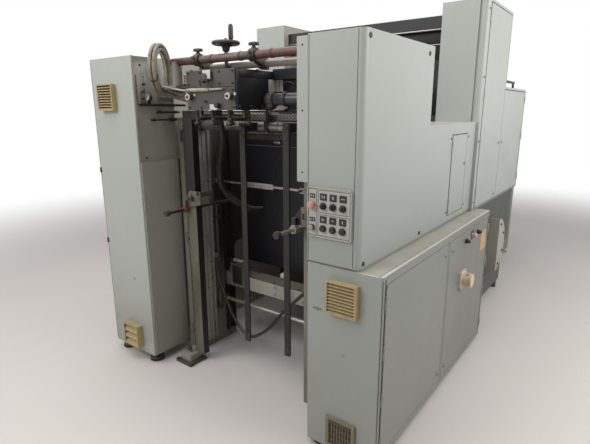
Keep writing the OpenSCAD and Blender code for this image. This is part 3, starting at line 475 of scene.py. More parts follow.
def housing_enamel():
    """The outer enamel, darker towards the floor, with painted shade on the right side, low on the right
    front faces, on the cabinet's side and on the left tower's inner side, and small marks on the front
    faces.
    """
    f = enamel("mint_enamel", MINT, dust=0.55)
    side = f.toward("x", 0.5, 0.9)
    right = f.along("x", 500, 600)
    outer = f.both(side, right)
    front = f.both(f.toward("y", -0.5, -0.9), right)
    # painted shade: the right front faces darker low down
    f.layer(f.both(front, f.along("z", 1600, 950)), (138, 144, 138), 0.55)
    # painted shade: the right side darker low down, the cabinet's side below the ledge darker still, and
    # darker again between y 560 and 1260
    f.layer(f.both(outer, f.along("z", 1850, 900)), (130, 134, 130), 0.62)
    low = f.both(outer, f.along("z", 970, 930))
    f.layer(low, (110, 111, 106), 0.68)
    f.layer(f.both(low, f.along("y", 560, 1260)), (88, 86, 80), 0.42)
    # painted shade: the left tower's inner side darker and warmer
    f.layer(f.both(side, f.along("x", -500, -540)), (150, 136, 118), 0.4)
    f.layer(f.along("z", 950, 100), (128, 124, 116), 0.22)
    f.layer(spot(f, 707, 728, 30, 9), (96, 96, 92), 0.75)
    f.layer(spot(f, 844, 537, 8, 7), (120, 116, 106), 0.7)
    f.layer(spot(f, -700, 560, 16, 12), (128, 120, 104), 0.6)
    return f.done()


def guide_finish():
    """Side guides: grey bracket, dark rod on the left and light one on the right, rusty left collar."""
    f = Finish("guide_iron", (110, 104, 95), 0.5, 0.4)
    f.clouds(20, 5, 0.4, 0.7, (70, 62, 54), 0.7)
    low = f.along("z", 1042.5, 1041.5)
    left = f.between("x", -440, -340)
    right = f.between("x", 400, 470)
    f.layer(f.both(low, left), (52, 44, 40), 0.95)
    f.layer(f.both(low, right), (150, 148, 140), 0.9)
    f.layer(f.both(f.both(low, left), f.between("y", 168, 206, 0.5)), (112, 76, 68), 0.9)
    f.layer(f.both(left, f.between("y", 500, 570, 30)), (110, 74, 68), 0.9)
    f.layer(f.between("y", 0, 62), (44, 41, 39), 0.95)
    f.layer(f.both(f.along("z", 1041.5, 1042.5), right), (40, 38, 35), 0.9)
    f.clouds(60, 4, 0.55, 0.7, (60, 46, 38), 0.5)
    dusted(f, amount=0.35, patch=20)
    return f.grained(300, 3, 0.0001).edges(1.2).done()


def rail_finish():
    """Rails of the pile lift: light profile in front, and behind it a red-brown screw and a dark channel,
    greasy and near black with painted shade.
    """
    f = Finish("rail_steel", (176, 173, 164), 0.42, 0.15)
    f.layer(f.noise(12, 5, stretch=(1, 1, 0.15), low=0.4, high=0.75), (104, 98, 86), 0.7)
    f.layer(f.along("y", 444, 446), (72, 58, 50), 0.95)
    # grease and painted shade: the channel behind the profile near black
    f.layer(f.between("y", 540, 650), (34, 29, 25), 0.94)
    f.clouds(40, 5, 0.56, 0.72, (60, 50, 42), 0.55)
    return f.grained(240, 3, 0.00008).edges(1).done()


def frame_finish():
    """Inner side frames: the enamel darker than the mint as painted shade, dusty at the legs, near black
    behind the rails with oil and painted shade, and darker upwards.
    """
    # painted shade: a darker copy of the mint enamel for the frames inside the bay
    f = enamel("inner_enamel_painted_shade", (120, 120, 108), 0.55, dirt=1.8, dust=0.5)
    # oil and painted shade: near black behind the rails
    f.layer(f.both(f.along("y", 440, 500), f.along("z", 340, 720)), (26, 22, 18), 0.94)
    f.layer(f.both(f.along("z", 900, 1500), f.noise(6, 4, low=0.2, high=0.6)), (30, 26, 22), 0.6)
    return f.done()


def tube_finish():
    """Cross tubes: the upper one brown-grey with rust towards its ends, the lower one grey."""
    f = Finish("tube_iron", (104, 92, 84), 0.5, 0.35)
    f.clouds(5, 4, 0.42, 0.6, (84, 70, 62), 0.7)
    ends = f.maths("ADD", f.along("x", 100, 300), f.along("x", -220, -340), clamp=True)
    f.layer(f.both(ends, f.noise(9, 5, low=0.25, high=0.5)), (92, 56, 48), 0.85)
    f.clouds(26, 5, 0.55, 0.68, (62, 52, 46), 0.6)
    f.layer(f.along("y", 226, 232), (150, 146, 138), 0.85)
    dusted(f, (150, 142, 130), 0.35, 24)
    return f.grained(200, 3, 0.0001).done()


def head_finish():
    """Suction head: dark brown-grey enamel, rubbed and greasy."""
    f = Finish("head_enamel", (74, 68, 64), 0.48, 0.15)
    f.clouds(6, 5, 0.4, 0.72, (58, 52, 48), 0.8)
    f.clouds(60, 4, 0.62, 0.74, (112, 104, 96), 0.5)
    streaked(f, (48, 42, 38), 0.4)
    dusted(f, amount=0.5)
    f.worn((128, 120, 110), 0.7, 1.5)
    return f.grained(500, 2, 0.00007).edges(1.6).done()


def column_finish(name, colour, grease, rubbed, upper=0.0):
    """Upright bars of the pile bay: light falls on the front, which is rubbed in patches; the side facing
    +x is near black as painted shade, and the upper half darker by the amount given."""
    f = Finish(name, colour, 0.5, 0.2)
    f.layer(f.noise(8, 5, stretch=(1, 1, 0.4), low=0.42, high=0.66), grease, 0.7)
    f.layer(f.noise(22, 5, stretch=(1, 1, 0.5), low=0.58, high=0.70), rubbed, 0.5)
    f.layer(f.along("z", 1020, 1070), (22, 18, 15), upper)
    # painted shade: the side facing +x near black
    f.layer(f.toward("x", 0.3, 0.7), (20, 17, 15), 0.92)
    return f.grained(160, 3, 0.0001).edges(1.2).done()


def foot_finish():
    """Column feet: pale block on a base plate brown with dirt."""
    f = enamel("foot_enamel", (160, 156, 147), 0.45, dirt=1.6, dust=0.6)
    return f.layer(f.along("z", 15.2, 14.5), (66, 57, 50), 0.95).done()


def vent_finish():
    """Louvres of beige moulding; the frame of the low one is grey with dust."""
    f = Finish("vent_moulding", (176, 156, 112), 0.55)
    f.clouds(22, 5, 0.45, 0.75, (146, 124, 82), 0.6)
    f.layer(f.along("z", 300, 260), (100, 93, 80), 0.85)
    dusted(f, amount=0.4, patch=16)
    return f.grained(900, 2, 0.00005).edges(0.8).done()


def beam_finish():
    """Cross beam of the pile lift: pale face, brown dust and oil on top, darker at its left end."""
    f = enamel("beam_enamel", (166, 164, 156), 0.45, dirt=1.4, dust=0.2)
    f.layer(f.toward("z", 0.55, 0.95), (84, 76, 66), 0.8)
    return f.layer(f.along("x", -220, -270), (72, 68, 60), 0.7).done()


def pipe_finish():
    """Blower pipe: black moulding, its elbow grey-brown with dust."""
    f = Finish("pipe_moulding", (46, 46, 49), 0.36)
    f.layer(f.along("x", 216, 210), (88, 82, 74), 0.8)
    f.clouds(24, 5, 0.5, 0.75, (34, 32, 30), 0.5)
    dusted(f, (116, 110, 100), 0.45, 20)
    return f.grained(300, 3, 0.0001).edges(1).done()


def hose_finish(name, colour, dirt, rough=0.5):
    f = Finish(name, colour, rough)
    f.clouds(30, 5, 0.4, 0.75, dirt, 0.8)
    dusted(f, amount=0.3, patch=30)
    return f.grained(600, 2, 0.00008).done()


# By material slot, and further looks by names of their own
finish = {
    "mint_paint": housing_enamel(),
    "mint_inner": frame_finish(),
    "dusty_mint": enamel("dusty_mint", (134, 134, 124), 0.5, dirt=1.4, dust=0.6).done(),
    "pale_paint": enamel("pale_enamel", (158, 156, 148), 0.45, dirt=1.6, dust=0.95).done(),
    "panel_plate": enamel("plate_enamel", (180, 180, 173), 0.38, dirt=0.7, chips=0.2).done(),
    "navy_paint": enamel("navy_enamel", (27, 27, 32), 0.42, dirt=0.5, dust=0.5, chips=0.8).done(),
    "beige_plastic": plastic("beige_moulding", (172, 154, 112), 0.55),
    "black_plastic": plastic("black_moulding", (30, 29, 29), 0.42, dust=0.35),
    "worn_black": plastic("worn_moulding", (46, 43, 41), 0.5, dust=0.3),
    "wheel": plastic("wheel_moulding", (44, 41, 40), 0.4, dust=0.5),
    "red_plastic": plastic("red_moulding", (204, 146, 142), 0.42, dust=0.2),
    "grey_cap": plastic("grey_moulding", (150, 150, 146), 0.45, dust=0.2),
    "paper": plastic("white_plate", (212, 210, 204), 0.6, dust=0.2),
    "tan": plastic("tan_plate", (178, 148, 104), 0.6, dust=0.2),
    "black_rubber": plastic("black_rubber", (26, 25, 24), 0.75, dust=0.6),
    "filter_mat": plastic("filter_mat", (62, 55, 46), 0.9, dust=0.6),
    "oily_steel": steel("oily_iron", (70, 62, 56), 0.42, 0.55, rust=0.35, dust=0.35, stained=0.6),
    "brown_iron": steel("brown_iron", (60, 44, 38), 0.5, 0.3, rust=0.3, dust=0.2, stained=0.6),
    "dusty_wire": steel("dusty_wire", (116, 108, 94), 0.6, 0.3, rust=0.2, dust=0.4, stained=0.4),
    "rusty_steel": steel("rusty_iron", (98, 66, 56), 0.55, 0.35, rust=0.8, dust=0.35, stained=0.45),
    "bright_steel": steel("ground_steel", (160, 156, 148), 0.34, 0.75, rust=0.15, dust=0.35, stained=0.45),
    "dark_steel": steel("dark_steel", (92, 86, 78), 0.42, 0.6, rust=0.25, dust=0.3, stained=0.6),
    "guides": guide_finish(),
    "rails": rail_finish(),
    "tubes": tube_finish(),
    "head": head_finish(),
    "columns": column_finish("column_iron", (104, 101, 90), (76, 70, 61), (122, 117, 105), 0.92),
    "stops": column_finish("stop_iron", (33, 29, 27), (20, 17, 15), (50, 43, 38)),
    "feet": foot_finish(),
    "vents": vent_finish(),
    "inlet": plastic("inlet_moulding", (202, 184, 162), 0.5, dust=0.3),
    "beam": beam_finish(),
    # painted shade: base panels and unit frames dark green-black, for the dark opening under the low cover
    "dark_base": enamel("base_enamel_painted_shade", (62, 65, 60), 0.5, dirt=0.8, dust=0.5).done(),
    # painted shade: the top beams, their guard and posts near black, darker than the navy paint
    "top_black_painted_shade": enamel("beam_enamel", (15, 15, 17), 0.5, dirt=0.3, dust=0.22, chips=0.3).done(),
    # pale strips of rubbed paint with a painted highlight of the ledge's round edge
    "lip": enamel("rubbed_edge_painted_highlight", (206, 208, 202), 0.4, dirt=0.5, dust=0.1).done(),
    "pipe": pipe_finish(),
    "hose": hose_finish("hose_skin", (138, 128, 114), (84, 76, 64)),
    "pale_hose": hose_finish("pale_hose_skin", (176, 170, 158), (128, 118, 102)),
    "duct": hose_finish("duct_skin", (44, 40, 33), (26, 23, 19), 0.45),
}

# Nodes whose finish is more particular than their slot's
looks = {"side_guides": "guides", "lift_rails": "rails", "cross_tubes": "tubes", "suction_head": "head",
         "guide_columns": "columns", "hanging_guides": "stops", "suction_feet": "dark_steel",
         "unit_frames": "dark_base", "base_panels": "dark_base", "air_valve": "dusty_mint",
         "column_feet": "feet", "cabinet_vents": "vents", "power_inlet": "inlet", "lift_beam": "beam",
         "blower_pipe": "pipe", "top_beams": "top_black_painted_shade"}
for sub in frame["record"]["subparts"]:
    materials = frame["nodes"][sub["node"]].data.materials
    materials.clear()
    materials.append(finish[looks.get(sub["node"], sub["material_slot"])])


# Hoses

HOSE_D = 20
PITCH = 11
VALVE_Z = 1740
HOSE_START = np.array([limits("suction_head")[LOW][0], 256, 1668])
TURN = math.radians(122)
TURN_R = 100
TURN_X = -345
RISE = 37
RING_R = 118
RING_DIR = np.array([math.cos(TURN), math.sin(TURN), 0])
RING_SIDE = np.array([math.sin(TURN), -math.cos(TURN), 0])
RING_CENTRE = np.array([TURN_X - TURN_R * math.sin(TURN), HOSE_START[1] - TURN_R * (1 - math.cos(TURN)),
                        HOSE_START[2] + RISE + RING_R])


def on_ring(degrees, radius):
    """Points of a ring in the upright plane of the hoses' loop."""
    a = np.radians(degrees)[:, None]
    return RING_CENTRE + radius * (np.cos(a) * RING_DIR + np.sin(a) * [[0, 0, 1]])


def hose_route(k, j):
    """The part's route of one suction hose: a turn in plan that rises by half a cosine wave, three
    quarters of a ring, and a straight drop into the valve block."""
    f = np.arange(7) / 7
    r = TURN_R - PITCH * k
    turn = np.stack([TURN_X - r * np.sin(TURN * f), HOSE_START[1] - TURN_R + r * np.cos(TURN * f),
                     HOSE_START[2] + RISE * (1 - np.cos(np.pi * f)) / 2 - PITCH * j], -1)
    ring = on_ring(270 - 18 * np.arange(16), RING_R + PITCH * j) + PITCH * k * RING_SIDE
    return np.concatenate([[HOSE_START - (0, PITCH * k, PITCH * j)], turn, ring,
                           [[ring[-1, 0], ring[-1, 1], VALVE_Z + 12]]])


def ribbed(path, diameter, pitch, depth, side, sides):
    """Hose along a path: the radius goes up and down by a cosine wave along the length."""
    wave = 0.5 - 0.5 * np.cos(2 * np.pi * distance(path) / pitch)
    return tube(path, diameter / 2 - depth * wave, side, sides)


def make_hose(name, node, path, diameter, look, pitch, depth, side=(0, 1, 0), sides=14):
    """A hose with both ends on the machine, drawn on the part's route."""
    line = even(curve(path), pitch / 5)
    hose = ribbed(line, diameter, pitch, depth, side, sides).build(name, "hose", look=look, crease=180)
    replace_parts(hose, node)


for k, row in ((-1, "rear"), (1, "front")):
    for j, tier in ((-1, "upper"), (1, "lower")):
        make_hose(f"suction_hose_{row}_{tier}", "suction_hoses", hose_route(k, j), HOSE_D, "hose", 5, 0.7,
                  (0.1 * k * j, k * j, 0.05 * k * j))
DUCT = [(-162, 272, 1602), (-162, 272, 1588), (-170, 292, 1534), (-208, 345, 1460), (-266, 394, 1385),
        (-322, 426, 1300), (-352, 446, 1215), (-360, 468, 1130), (-348, 520, 1052), (-320, 590, 992),
        (-290, 668, 950), (-274, 746, 936), (-274, 760, 936)]
SAG_Y = 452
SAG = [(-425, 640), (-425, 628), (-422, 570), (-402, 498), (-362, 400), (-292, 262), (-204, 168),
       (-110, 145), (20, 235), (118, 352), (212, 455), (300, 545), (370, 625), (412, 706), (425, 788),
       (425, 800)]
make_hose("bay_duct", "bay_hoses", DUCT, 44, "duct", 9, 1.6, (1, 0.2, 0), 20)
make_hose("sagging_hose", "bay_hoses", [(x, SAG_Y, z) for x, z in SAG], 20, "duct", 40, 0.0)


# Details

def bolt(across, height):
    """Hexagon head on a washer."""
    r = across / math.sqrt(3)
    head = lathe([(r, 1), (r, height - 0.8), (0.9 * r, height)], 6)
    return lathe([(1.3 * r, 0), (1.35 * r, 0.4), (1.35 * r, 1.2), (1.2 * r, 1.6)], 20) + head


def socket(diameter, height):
    """Cap screw whose recess opens at the top."""
    r = diameter / 2
    return lathe([(r, 0), (r, height - 0.5), (0.9 * r, height), (0.56 * r, height), (0.5 * r, height - 0.4),
                  (0.5 * r, 0.35 * height)], 16)


def dome(diameter, height):
    """Rounded screw head: radius r cos t at height h sin t."""
    t = np.radians([0, 20, 40, 58, 74, 84])
    return lathe(np.stack([diameter / 2 * np.cos(t), height * np.sin(t)], -1), 18)


def knob(diameter, height, stem):
    """Turned knob on its stem."""
    r = diameter / 2
    cap = ((0.9, 0.05), (1, 0.18), (1, 0.8), (0.9, 0.95), (0.6, 1))
    return lathe([(0.42 * r, 0), (0.42 * r, stem), *[(a * r, stem + b * height) for a, b in cap]], 24)


def band(inner, outer, width, ease, sides=32):
    """Ring whose rim is cut back by the ease."""
    return lathe([(inner, 0), (outer, ease), (outer, width - ease), (inner, width)], sides)


def grid(x, y, z):
    """Every place (x, y, z) of the numbers or lists given."""
    return [(a, b, c) for a in np.atleast_1d(x) for b in np.atleast_1d(y) for c in np.atleast_1d(z)]


def many(name, shape, way, places, slot="oily_steel", body="press", look=None):
    """The same small piece at every place, as one object."""
    return spread(shape.facing(way), places).build(name, slot, body, look)


def face(u, v, width, height, radius, thickness, at, plane="xz"):
    """Plate with round corners round u, v of its own plane, from `at` along the plane's normal."""
    return plate(outline(width, height, radius) + (u, v), thickness, min(0.4, thickness / 3), plane, at)


def rim(u, v, width, height, radius, line, thickness, at, plane="xz"):
    """Raised line along an outline: four rings of points round a flat frame, the last joined to the
    first."""
    outer = outline(width, height, radius) + (u, v)
    inner = outline(width - 2 * line, height - 2 * line, max(radius - line, 0.3)) + (u, v)
    rings = [lifted(outer, 0), lifted(outer, thickness), lifted(inner, thickness), lifted(inner, 0),
             lifted(outer, 0)]
    return skin(laid(np.stack(rings), plane, at), ends=False)


def door_locks(body, ending, x, y, z):
    """A ring with a dark slot at each lock of a door."""
    many(f"{body}_ring{ending}", lathe([(13, 0), (14.4, 0.4), (14.4, 1.4), (13.4, 2)], 28), "+x",
         grid(x, y, z), "bright_steel", body)
    many(f"{body}_slot{ending}", face(0, 0, 3, 13, 1.4, 0.5, 0, "yz"), "+z", grid(x + 6.1, y, z),
         "black_plastic", body)


# Suction head: screws, two gauges with knobs, two bare plates and the air tube across its face
HEAD_Y = 90
HEAD_SIDE = 158
LID_Z = edge("tube_clamps", LOW, "z")
GAUGE_Z = 1670
AIR_Z = 1705
many("head_screws", socket(11, 5), "-y",
     [(x, HEAD_Y, z) for z in (1616, 1700, 1732, 1789) for x in (-188, -96, 44, 136)])
many("head_lid_bolts", bolt(13, 7), "+z", grid((-180, -70, 60, 128), (108, 282), LID_Z))
many("head_side_bolts", bolt(13, 6), "+x", grid(HEAD_SIDE, (112, 200, 286), (1620, 1784)))
for side, x in (("left", -172), ("right", 120)):
    many(f"gauge_{side}",
         lathe([(14.4, 0), (16, 0.6), (16, 6.2), (14.6, 8), (9.6, 8), (8.8, 6.6), (8.6, 2)]), "-y",
         [(x, 69, GAUGE_Z)], "panel_plate", look="paper")
    many(f"gauge_{side}_middle", lathe([(8.4, 0), (8.4, 3), (6, 4.4), (2.4, 5)], 24), "-y",
         [(x, 67, GAUGE_Z)], "black_plastic")
    many(f"gauge_{side}_screw", lathe([(6.4, 0), (7, 0.6), (7, 5), (6, 6), (3.4, 6), (3, 4.6)], 20), "-y",
         [(x + 31, HEAD_Y, GAUGE_Z + 10)], "panel_plate", look="paper")
face(-34, 1778, 56, 44, 2, 1.2, 77.5).build("head_plate_upper", "panel_plate", look="paper")
face(-6, 1618, 54, 28, 2, 1.2, 89.5).build("head_plate_lower", "panel_plate", look="paper")
knobs = [(-62, 76, 1748, 21, 22), (-40, 77, 1743, 16, 26), (-14, 77, 1750, 18, 18), (-58, 89, 1646, 13, 8),
         (34, 88, 1627, 28, 18)]
join(knob(d, h, 5).facing("-y").moved(x, y, z) for x, y, z, d, h in knobs).build(
    "head_knobs", "oily_steel", look="brown_iron")
loop = on_ring([0, 20, 45, 75, 105, 135, 160, 185, 210, 235, 260], 88)
foot = loop[:1] * (1, 1, 0)
air = np.concatenate([foot + (0, 0, VALVE_Z + 2), foot + (0, 0, VALVE_Z + 50), loop,
                      [(-388, 100, 1728), (-340, 99, 1720), (-285, 94, 1713), (-235, 83, 1707),
                       (-195, 78, AIR_Z), (-120, 77, AIR_Z), (-16, 77, AIR_Z)]])
air_end = np.array([(-14, 77, AIR_Z), (20, 77, AIR_Z), (50, 77, AIR_Z + 0.5), (74, 77, AIR_Z)], float)
(tube(curve(air, 6), 5.4, (0.3, 0.2, 1), 12) + tube(air_end, 5.2, (0, 0, 1), 12)
 + lathe(eased(9.2, 178, 3), 24, "X").moved(-192, 79, AIR_Z)).build("air_tube", "hose", look="pale_hose")
many("air_tube_clips", band(9.4, 9.9, 6.5, 0.5, 20), "+x", grid((-186, -22), 79, AIR_Z), "bright_steel",
     look="dusty_wire")
many("hose_bands", band(26, 27, 7, 0.6, 28).turned("X", 62).turned("Z", 32), "+z", on_ring([205], RING_R),
     "black_rubber")

# Sucker rods: springs whose wire climbs evenly round each rod, with a dark cup below
turns = np.linspace(0, 7 * 2 * np.pi, 7 * 14)
coil = tube(np.column_stack([11 * ray(turns), 1546 + 48 * turns / turns[-1]]), 1.3, (0, 0, 1), 6)
feet = [(-176 + 60 * i, 130 if i % 2 == 0 else 210, 0) for i in range(6)]
spread(coil, feet).build("sucker_springs", "oily_steel")
spread(lathe([(9, 0), (12, 1), (17.6, 3), (18.6, 6), (17, 9), (10, 13)], 24).moved(0, 0, 1524), feet).build(
    "sucker_cups", "black_rubber")
join(block([x - 7, x + 7], [104, 226], [1553, 1563], 2) for x in (-146, -26, 94)).build(
    "sucker_yokes", "oily_steel")

# Handwheel: a dished web between hub and rim, turned as one profile, with its crank grip and spindle
WHEEL_X = -40
WHEEL_Y = 230
WHEEL_Z = 1944
GRIP_R = 53
wheel = lathe([(10, -42), (16, -42), (18, -39), (21, -22), (31, -10), (37, -6), (55, -4.5), (60, -7),
               (66, -9.6), (72, -7), (75, 0), (72, 7), (66, 9.6), (60, 7), (56, 1.5), (31, 1.5), (26, 4),
               (24, 12), (20, 15.5), (9, 16)], 56)
grip = lathe([(7, 4), (8, 10), (11, 13), (12.4, 18), (12.6, 70), (11.4, 79), (8, 85), (3, 87)], 24)
grip = grip.moved(*(GRIP_R * ray(math.radians(-15))), 0)
shaft = rod((0, 0, LID_Z + 0.3 - WHEEL_Z), "Z", 100, 20)
cap = lathe([(8, 16), (9, 17), (9, 21), (6, 24)], 6)
hand = (wheel + grip + shaft + cap).moved(WHEEL_X, WHEEL_Y, WHEEL_Z)
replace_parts(hand.build("handwheel_turned", "black_plastic", "handwheel", look="wheel"), "handwheel")


# Clamps on the cross tubes: two collars joined by a strap, with a lobed knob on a coned stem
def strap(p, p_radius, q, q_radius):
    """Outline round two circles: the arcs that face away from each other, joined where the common
    tangents touch, at the angle acos((r1 - r2) / distance) from the line between the centres."""
    p, q = np.array(p, float), np.array(q, float)
    along = math.atan2(*(q - p)[::-1])
    open_angle = math.acos((p_radius - q_radius) / np.linalg.norm(q - p))
    first = np.linspace(along + open_angle, along + 2 * math.pi - open_angle, 16)
    second = np.linspace(along - open_angle, along + open_angle, 12)
    return np.concatenate([p + p_radius * ray(first), q + q_radius * ray(second)])


def collar(inner, outer, width):
    """Bored collar: its profile comes back to where it starts."""
    return lathe([(inner, 0), (outer - 2, 0), (outer, 2), (outer, width - 2), (outer - 2, width),
                  (inner, width), (inner, 0)], 40, "X", ends=False)


TUBE = (190, 1867)
LOW_TUBE = (262, 1830)
CLAMP_X = (-212, 190)
lobes = circle(60)
lobe = (21 + 6.5 * np.cos(2 * (lobes - math.radians(20))))[:, None] * ray(lobes)
clamp = (collar(21.2, 32, 40).moved(-20, *TUBE) + collar(18.2, 27, 40).moved(-20, *LOW_TUBE)
         + plate(strap(TUBE, 25, LOW_TUBE, 20), 34, 2, "yz", -17)
         + block([-14, 14], [252, 290], [LID_Z + 0.2, LID_Z + 16], 2)
         + lathe([(13, 1896), (13, 1902), (8, 1907), (8, 1911)], 24).moved(0, TUBE[0], 0)
         + stacked(lobe, ((0.55, 1910), (0.9, 1911), (1, 1914), (1, 1921), (0.86, 1925), (0.4, 1927)))
         .moved(0, TUBE[0], 0))
clamps = join(clamp.moved(x, 0, 0) for x in CLAMP_X).build("tube_clamps_turned", "oily_steel")
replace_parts(clamps, "tube_clamps")
many("clamp_bolts", bolt(13, 8), "-y", grid(CLAMP_X, TUBE[0] - 32, (TUBE[1] - 8, TUBE[1] + 8)))
many("tube_collars", lathe([(21.6, 0), (23.5, 0.8), (23.5, 13), (21.6, 14)]), "+x",
     grid((-262, -110, 96, 300, 470), *TUBE), "rusty_steel")

# Valve shelf on the left tower: bars, gauge, small fittings and the reservoir's cap
TOWER_IN = edge("tower_shelf", LOW, "x")
DIAL_X = -538
DIAL_Z = 1676
for y, name in ((37, "front"), (86, "rear")):
    block([TOWER_IN - 0.5, -549], [y - 8, y + 8], [1640, 1797], 2).build(f"shelf_bar_{name}", "pale_paint")
block([TOWER_IN - 0.5, -556], [44, 80], [1652, 1786], 2).build("shelf_plate", "pale_paint")
many("shelf_gauge", lathe([(19.6, 0), (20.6, 0.8), (20.6, 5), (19.4, 6), (17.6, 6), (17.2, 4)]), "-y",
     [(DIAL_X, 84.2, DIAL_Z)], "bright_steel")
many("shelf_gauge_face", lathe([(17, 0), (17, 0.6), (16.6, 0.9)], 28), "-y", [(DIAL_X, 80, DIAL_Z)],
     "panel_plate", look="paper")
block([DIAL_X - 3, DIAL_X + 1], [78.2, 79.2], [1666, 1690], 0.4).turned("Y", 35, (DIAL_X, 0, DIAL_Z)).build(
    "shelf_gauge_needle", "black_plastic")
shelf_knobs = [(54, 1668, 15), (60, 1706, 17), (66, 1748, 15)]
join(knob(d, 16, 8).facing("+x").moved(-556, y, z) for y, z, d in shelf_knobs).build(
    "shelf_knobs", "oily_steel")
many("tower_inner_screws", socket(13, 3), "+x",
     [(TOWER_IN, 64, 1853), (TOWER_IN, 270, 1853), (TOWER_IN, 64, 1330)])
join([rod((-424, 236, 1748), "X", 76, 15), rod((-404, 252, 1747), "X", 52, 12),
      lathe([(9.4, 0), (10, 0.6), (10, 9), (9.4, 10)], 6, "X").moved(-382, 236, 1748)]).build(
    "valve_fittings", "bright_steel")
reservoir = lathe([(15, 0), (17.5, 1), (17.5, 6), (15, 10), (9, 13), (4, 14)], 28)
(reservoir + lathe([(6, 12), (6, 20), (4, 22)], 6)).moved(-440, 296, VALVE_Z + 60).build(
    "reservoir_cap", "bright_steel")
many("valve_bolts", bolt(13, 7), "+z", [(-552, 170, VALVE_Z), (-552, 316, VALVE_Z), (-384, 318, VALVE_Z)])
rod((-392, 330, 1694), "X", 50, 26).build("valve_port", "oily_steel")

# Right of the head: pipe rings, bare plates and a band along the head's side
PIPE_Y = 300
PIPE_Z = 1656
PANEL_FACE = 400
many("elbow_rings", band(27.6, 30, 10, 1), "+z", grid(200, PIPE_Y, (1609, 1632)), "black_rubber")
for x, look in ((223, "dusty_wire"), (301, "worn_black")):
    many(f"pipe_band_{x}", lathe([(37.2, 0), (38.6, 0.8), (38.6, 5), (37.2, 6)], 36), "+x",
         [(x, PIPE_Y, PIPE_Z)], "bright_steel", look=look)
face(183, 1728, 46, 62, 1.5, 1.2, PANEL_FACE - 0.4).build("panel_paper", "panel_plate", look="paper")
face(366, 1727, 60, 62, 1.5, 1.2, HEAD_SIDE, "yz").build("side_paper", "panel_plate", look="paper")
face(181, 1728, 2.4, 58, 1, 0.5, PANEL_FACE - 1.8).build("panel_paper_mark", "black_plastic")
block([HEAD_SIDE - 0.2, 161], [96, 371], [1762, 1800], 1).build("side_band", "navy_paint")
block([HEAD_SIDE - 0.2, 163], [97, 112], [1738, 1800], 1).build(
    "side_corner", "oily_steel", look="brown_iron")

# Light rods and a guard before the front top beam, and the posts of the rear one on the cast frames; guard
# and posts near black with painted shade
COVER_IN = edge("unit_cover_right", LOW, "x")
BEAM_BOTTOM = 2110
POST = (450, 506)
join([rod((-COVER_IN, y, z), "X", 2 * COVER_IN, 11) for y, z in ((1550, 2114), (1566, 2022))]).build(
    "top_rods", "bright_steel")
# a black guard below the beam, standing partly for the shade there
block([-COVER_IN, COVER_IN], [1582, 1598], [2034, BEAM_BOTTOM + 1], 2).build(
    "top_guard", "black_plastic", look="top_black_painted_shade")
post = [(1872, 1945), (2070, 1945), (2050, BEAM_BOTTOM + 1), (1892, BEAM_BOTTOM + 1)]
join(plate(post, POST[1] - POST[0], 2, "yz", x) for x in (POST[0], -POST[1])).build(
    "beam_posts", "black_plastic", look="top_black_painted_shade")

# Right of the head again: thin arc cable, pale bottle, the thick shaft's clamp, box, pin and rings, and
# the bolts along the beam's strip
SHAFT_Y = 420
SHAFT_Z = 1512
arc = curve([(212, 399, 1706), (226, 380, 1732), (258, 372, 1744), (294, 380, 1730), (312, 399, 1700)], 10)
tube(arc, 4, (0, 0.2, 1), 10).build("arc_lead", "black_rubber")
bottle = lathe([(9, 0), (16, 3), (17.5, 8), (17.5, 62), (14, 70), (8, 74), (7, 84), (5, 86)], 28)
many("pale_bottle", bottle, "+x", [(162, 381, 1618)], "panel_plate", look="paper")
block([162, 236], [372, PANEL_FACE - 0.4], [1592, 1600], 2).build("bottle_rest", "oily_steel")
(block([74, 104], [388, 452], [1478, 1546], 4) + block([80, 98], [398, 442], [1540, 1604], 3)
 + spread(bolt(17, 9).facing("-y"), [(89, 388, 1500), (89, 398, 1588)])).build("shaft_clamp", "oily_steel")
(block([-104, 168], [436, 474], [1436, 1474], 5)
 + spread(bolt(13, 6).facing("-y"), grid((-80, 140), 436, 1455))).build(
    "shaft_box", "oily_steel", look="brown_iron")
rod((104, 446, 1424), "X", 46, 17).build("shaft_pin", "bright_steel")
many("strip_bolts", dome(9, 4), "-y", grid(range(-420, 440, 24), 438, 1559), look="brown_iron")
many("strip_bolts_low", dome(7, 3), "-y", grid(range(-408, 440, 24), 438, 1550), look="brown_iron")
many("shaft_rings", band(28.4, 31, 16, 1, 36), "+x", grid((-330, -60, 150, 380), SHAFT_Y, SHAFT_Z),
     "bright_steel")

# Hanging back stops: bolts at the clamp, a dark tip and slots
STOP_X = (-6, 300)
STOP_Y = edge("hanging_guides", LOW, "y")
for x, label in zip(STOP_X, (0, 306)):
    many(f"stop_bolts_{label}", bolt(15, 8), "-y", grid(x, STOP_Y, (SHAFT_Z, SHAFT_Z - 50)))
    block([x - 21, x + 21], [STOP_Y - 2.4, STOP_Y + 0.4], [214, 262], 1).build(
        f"stop_tip_{label}", "oily_steel")
many("stop_slots", face(0, 0, 8, 90, 4, 0.6, 0), "+z", grid(STOP_X, STOP_Y - 0.2, (1380, 1120, 700)),
     "black_plastic")

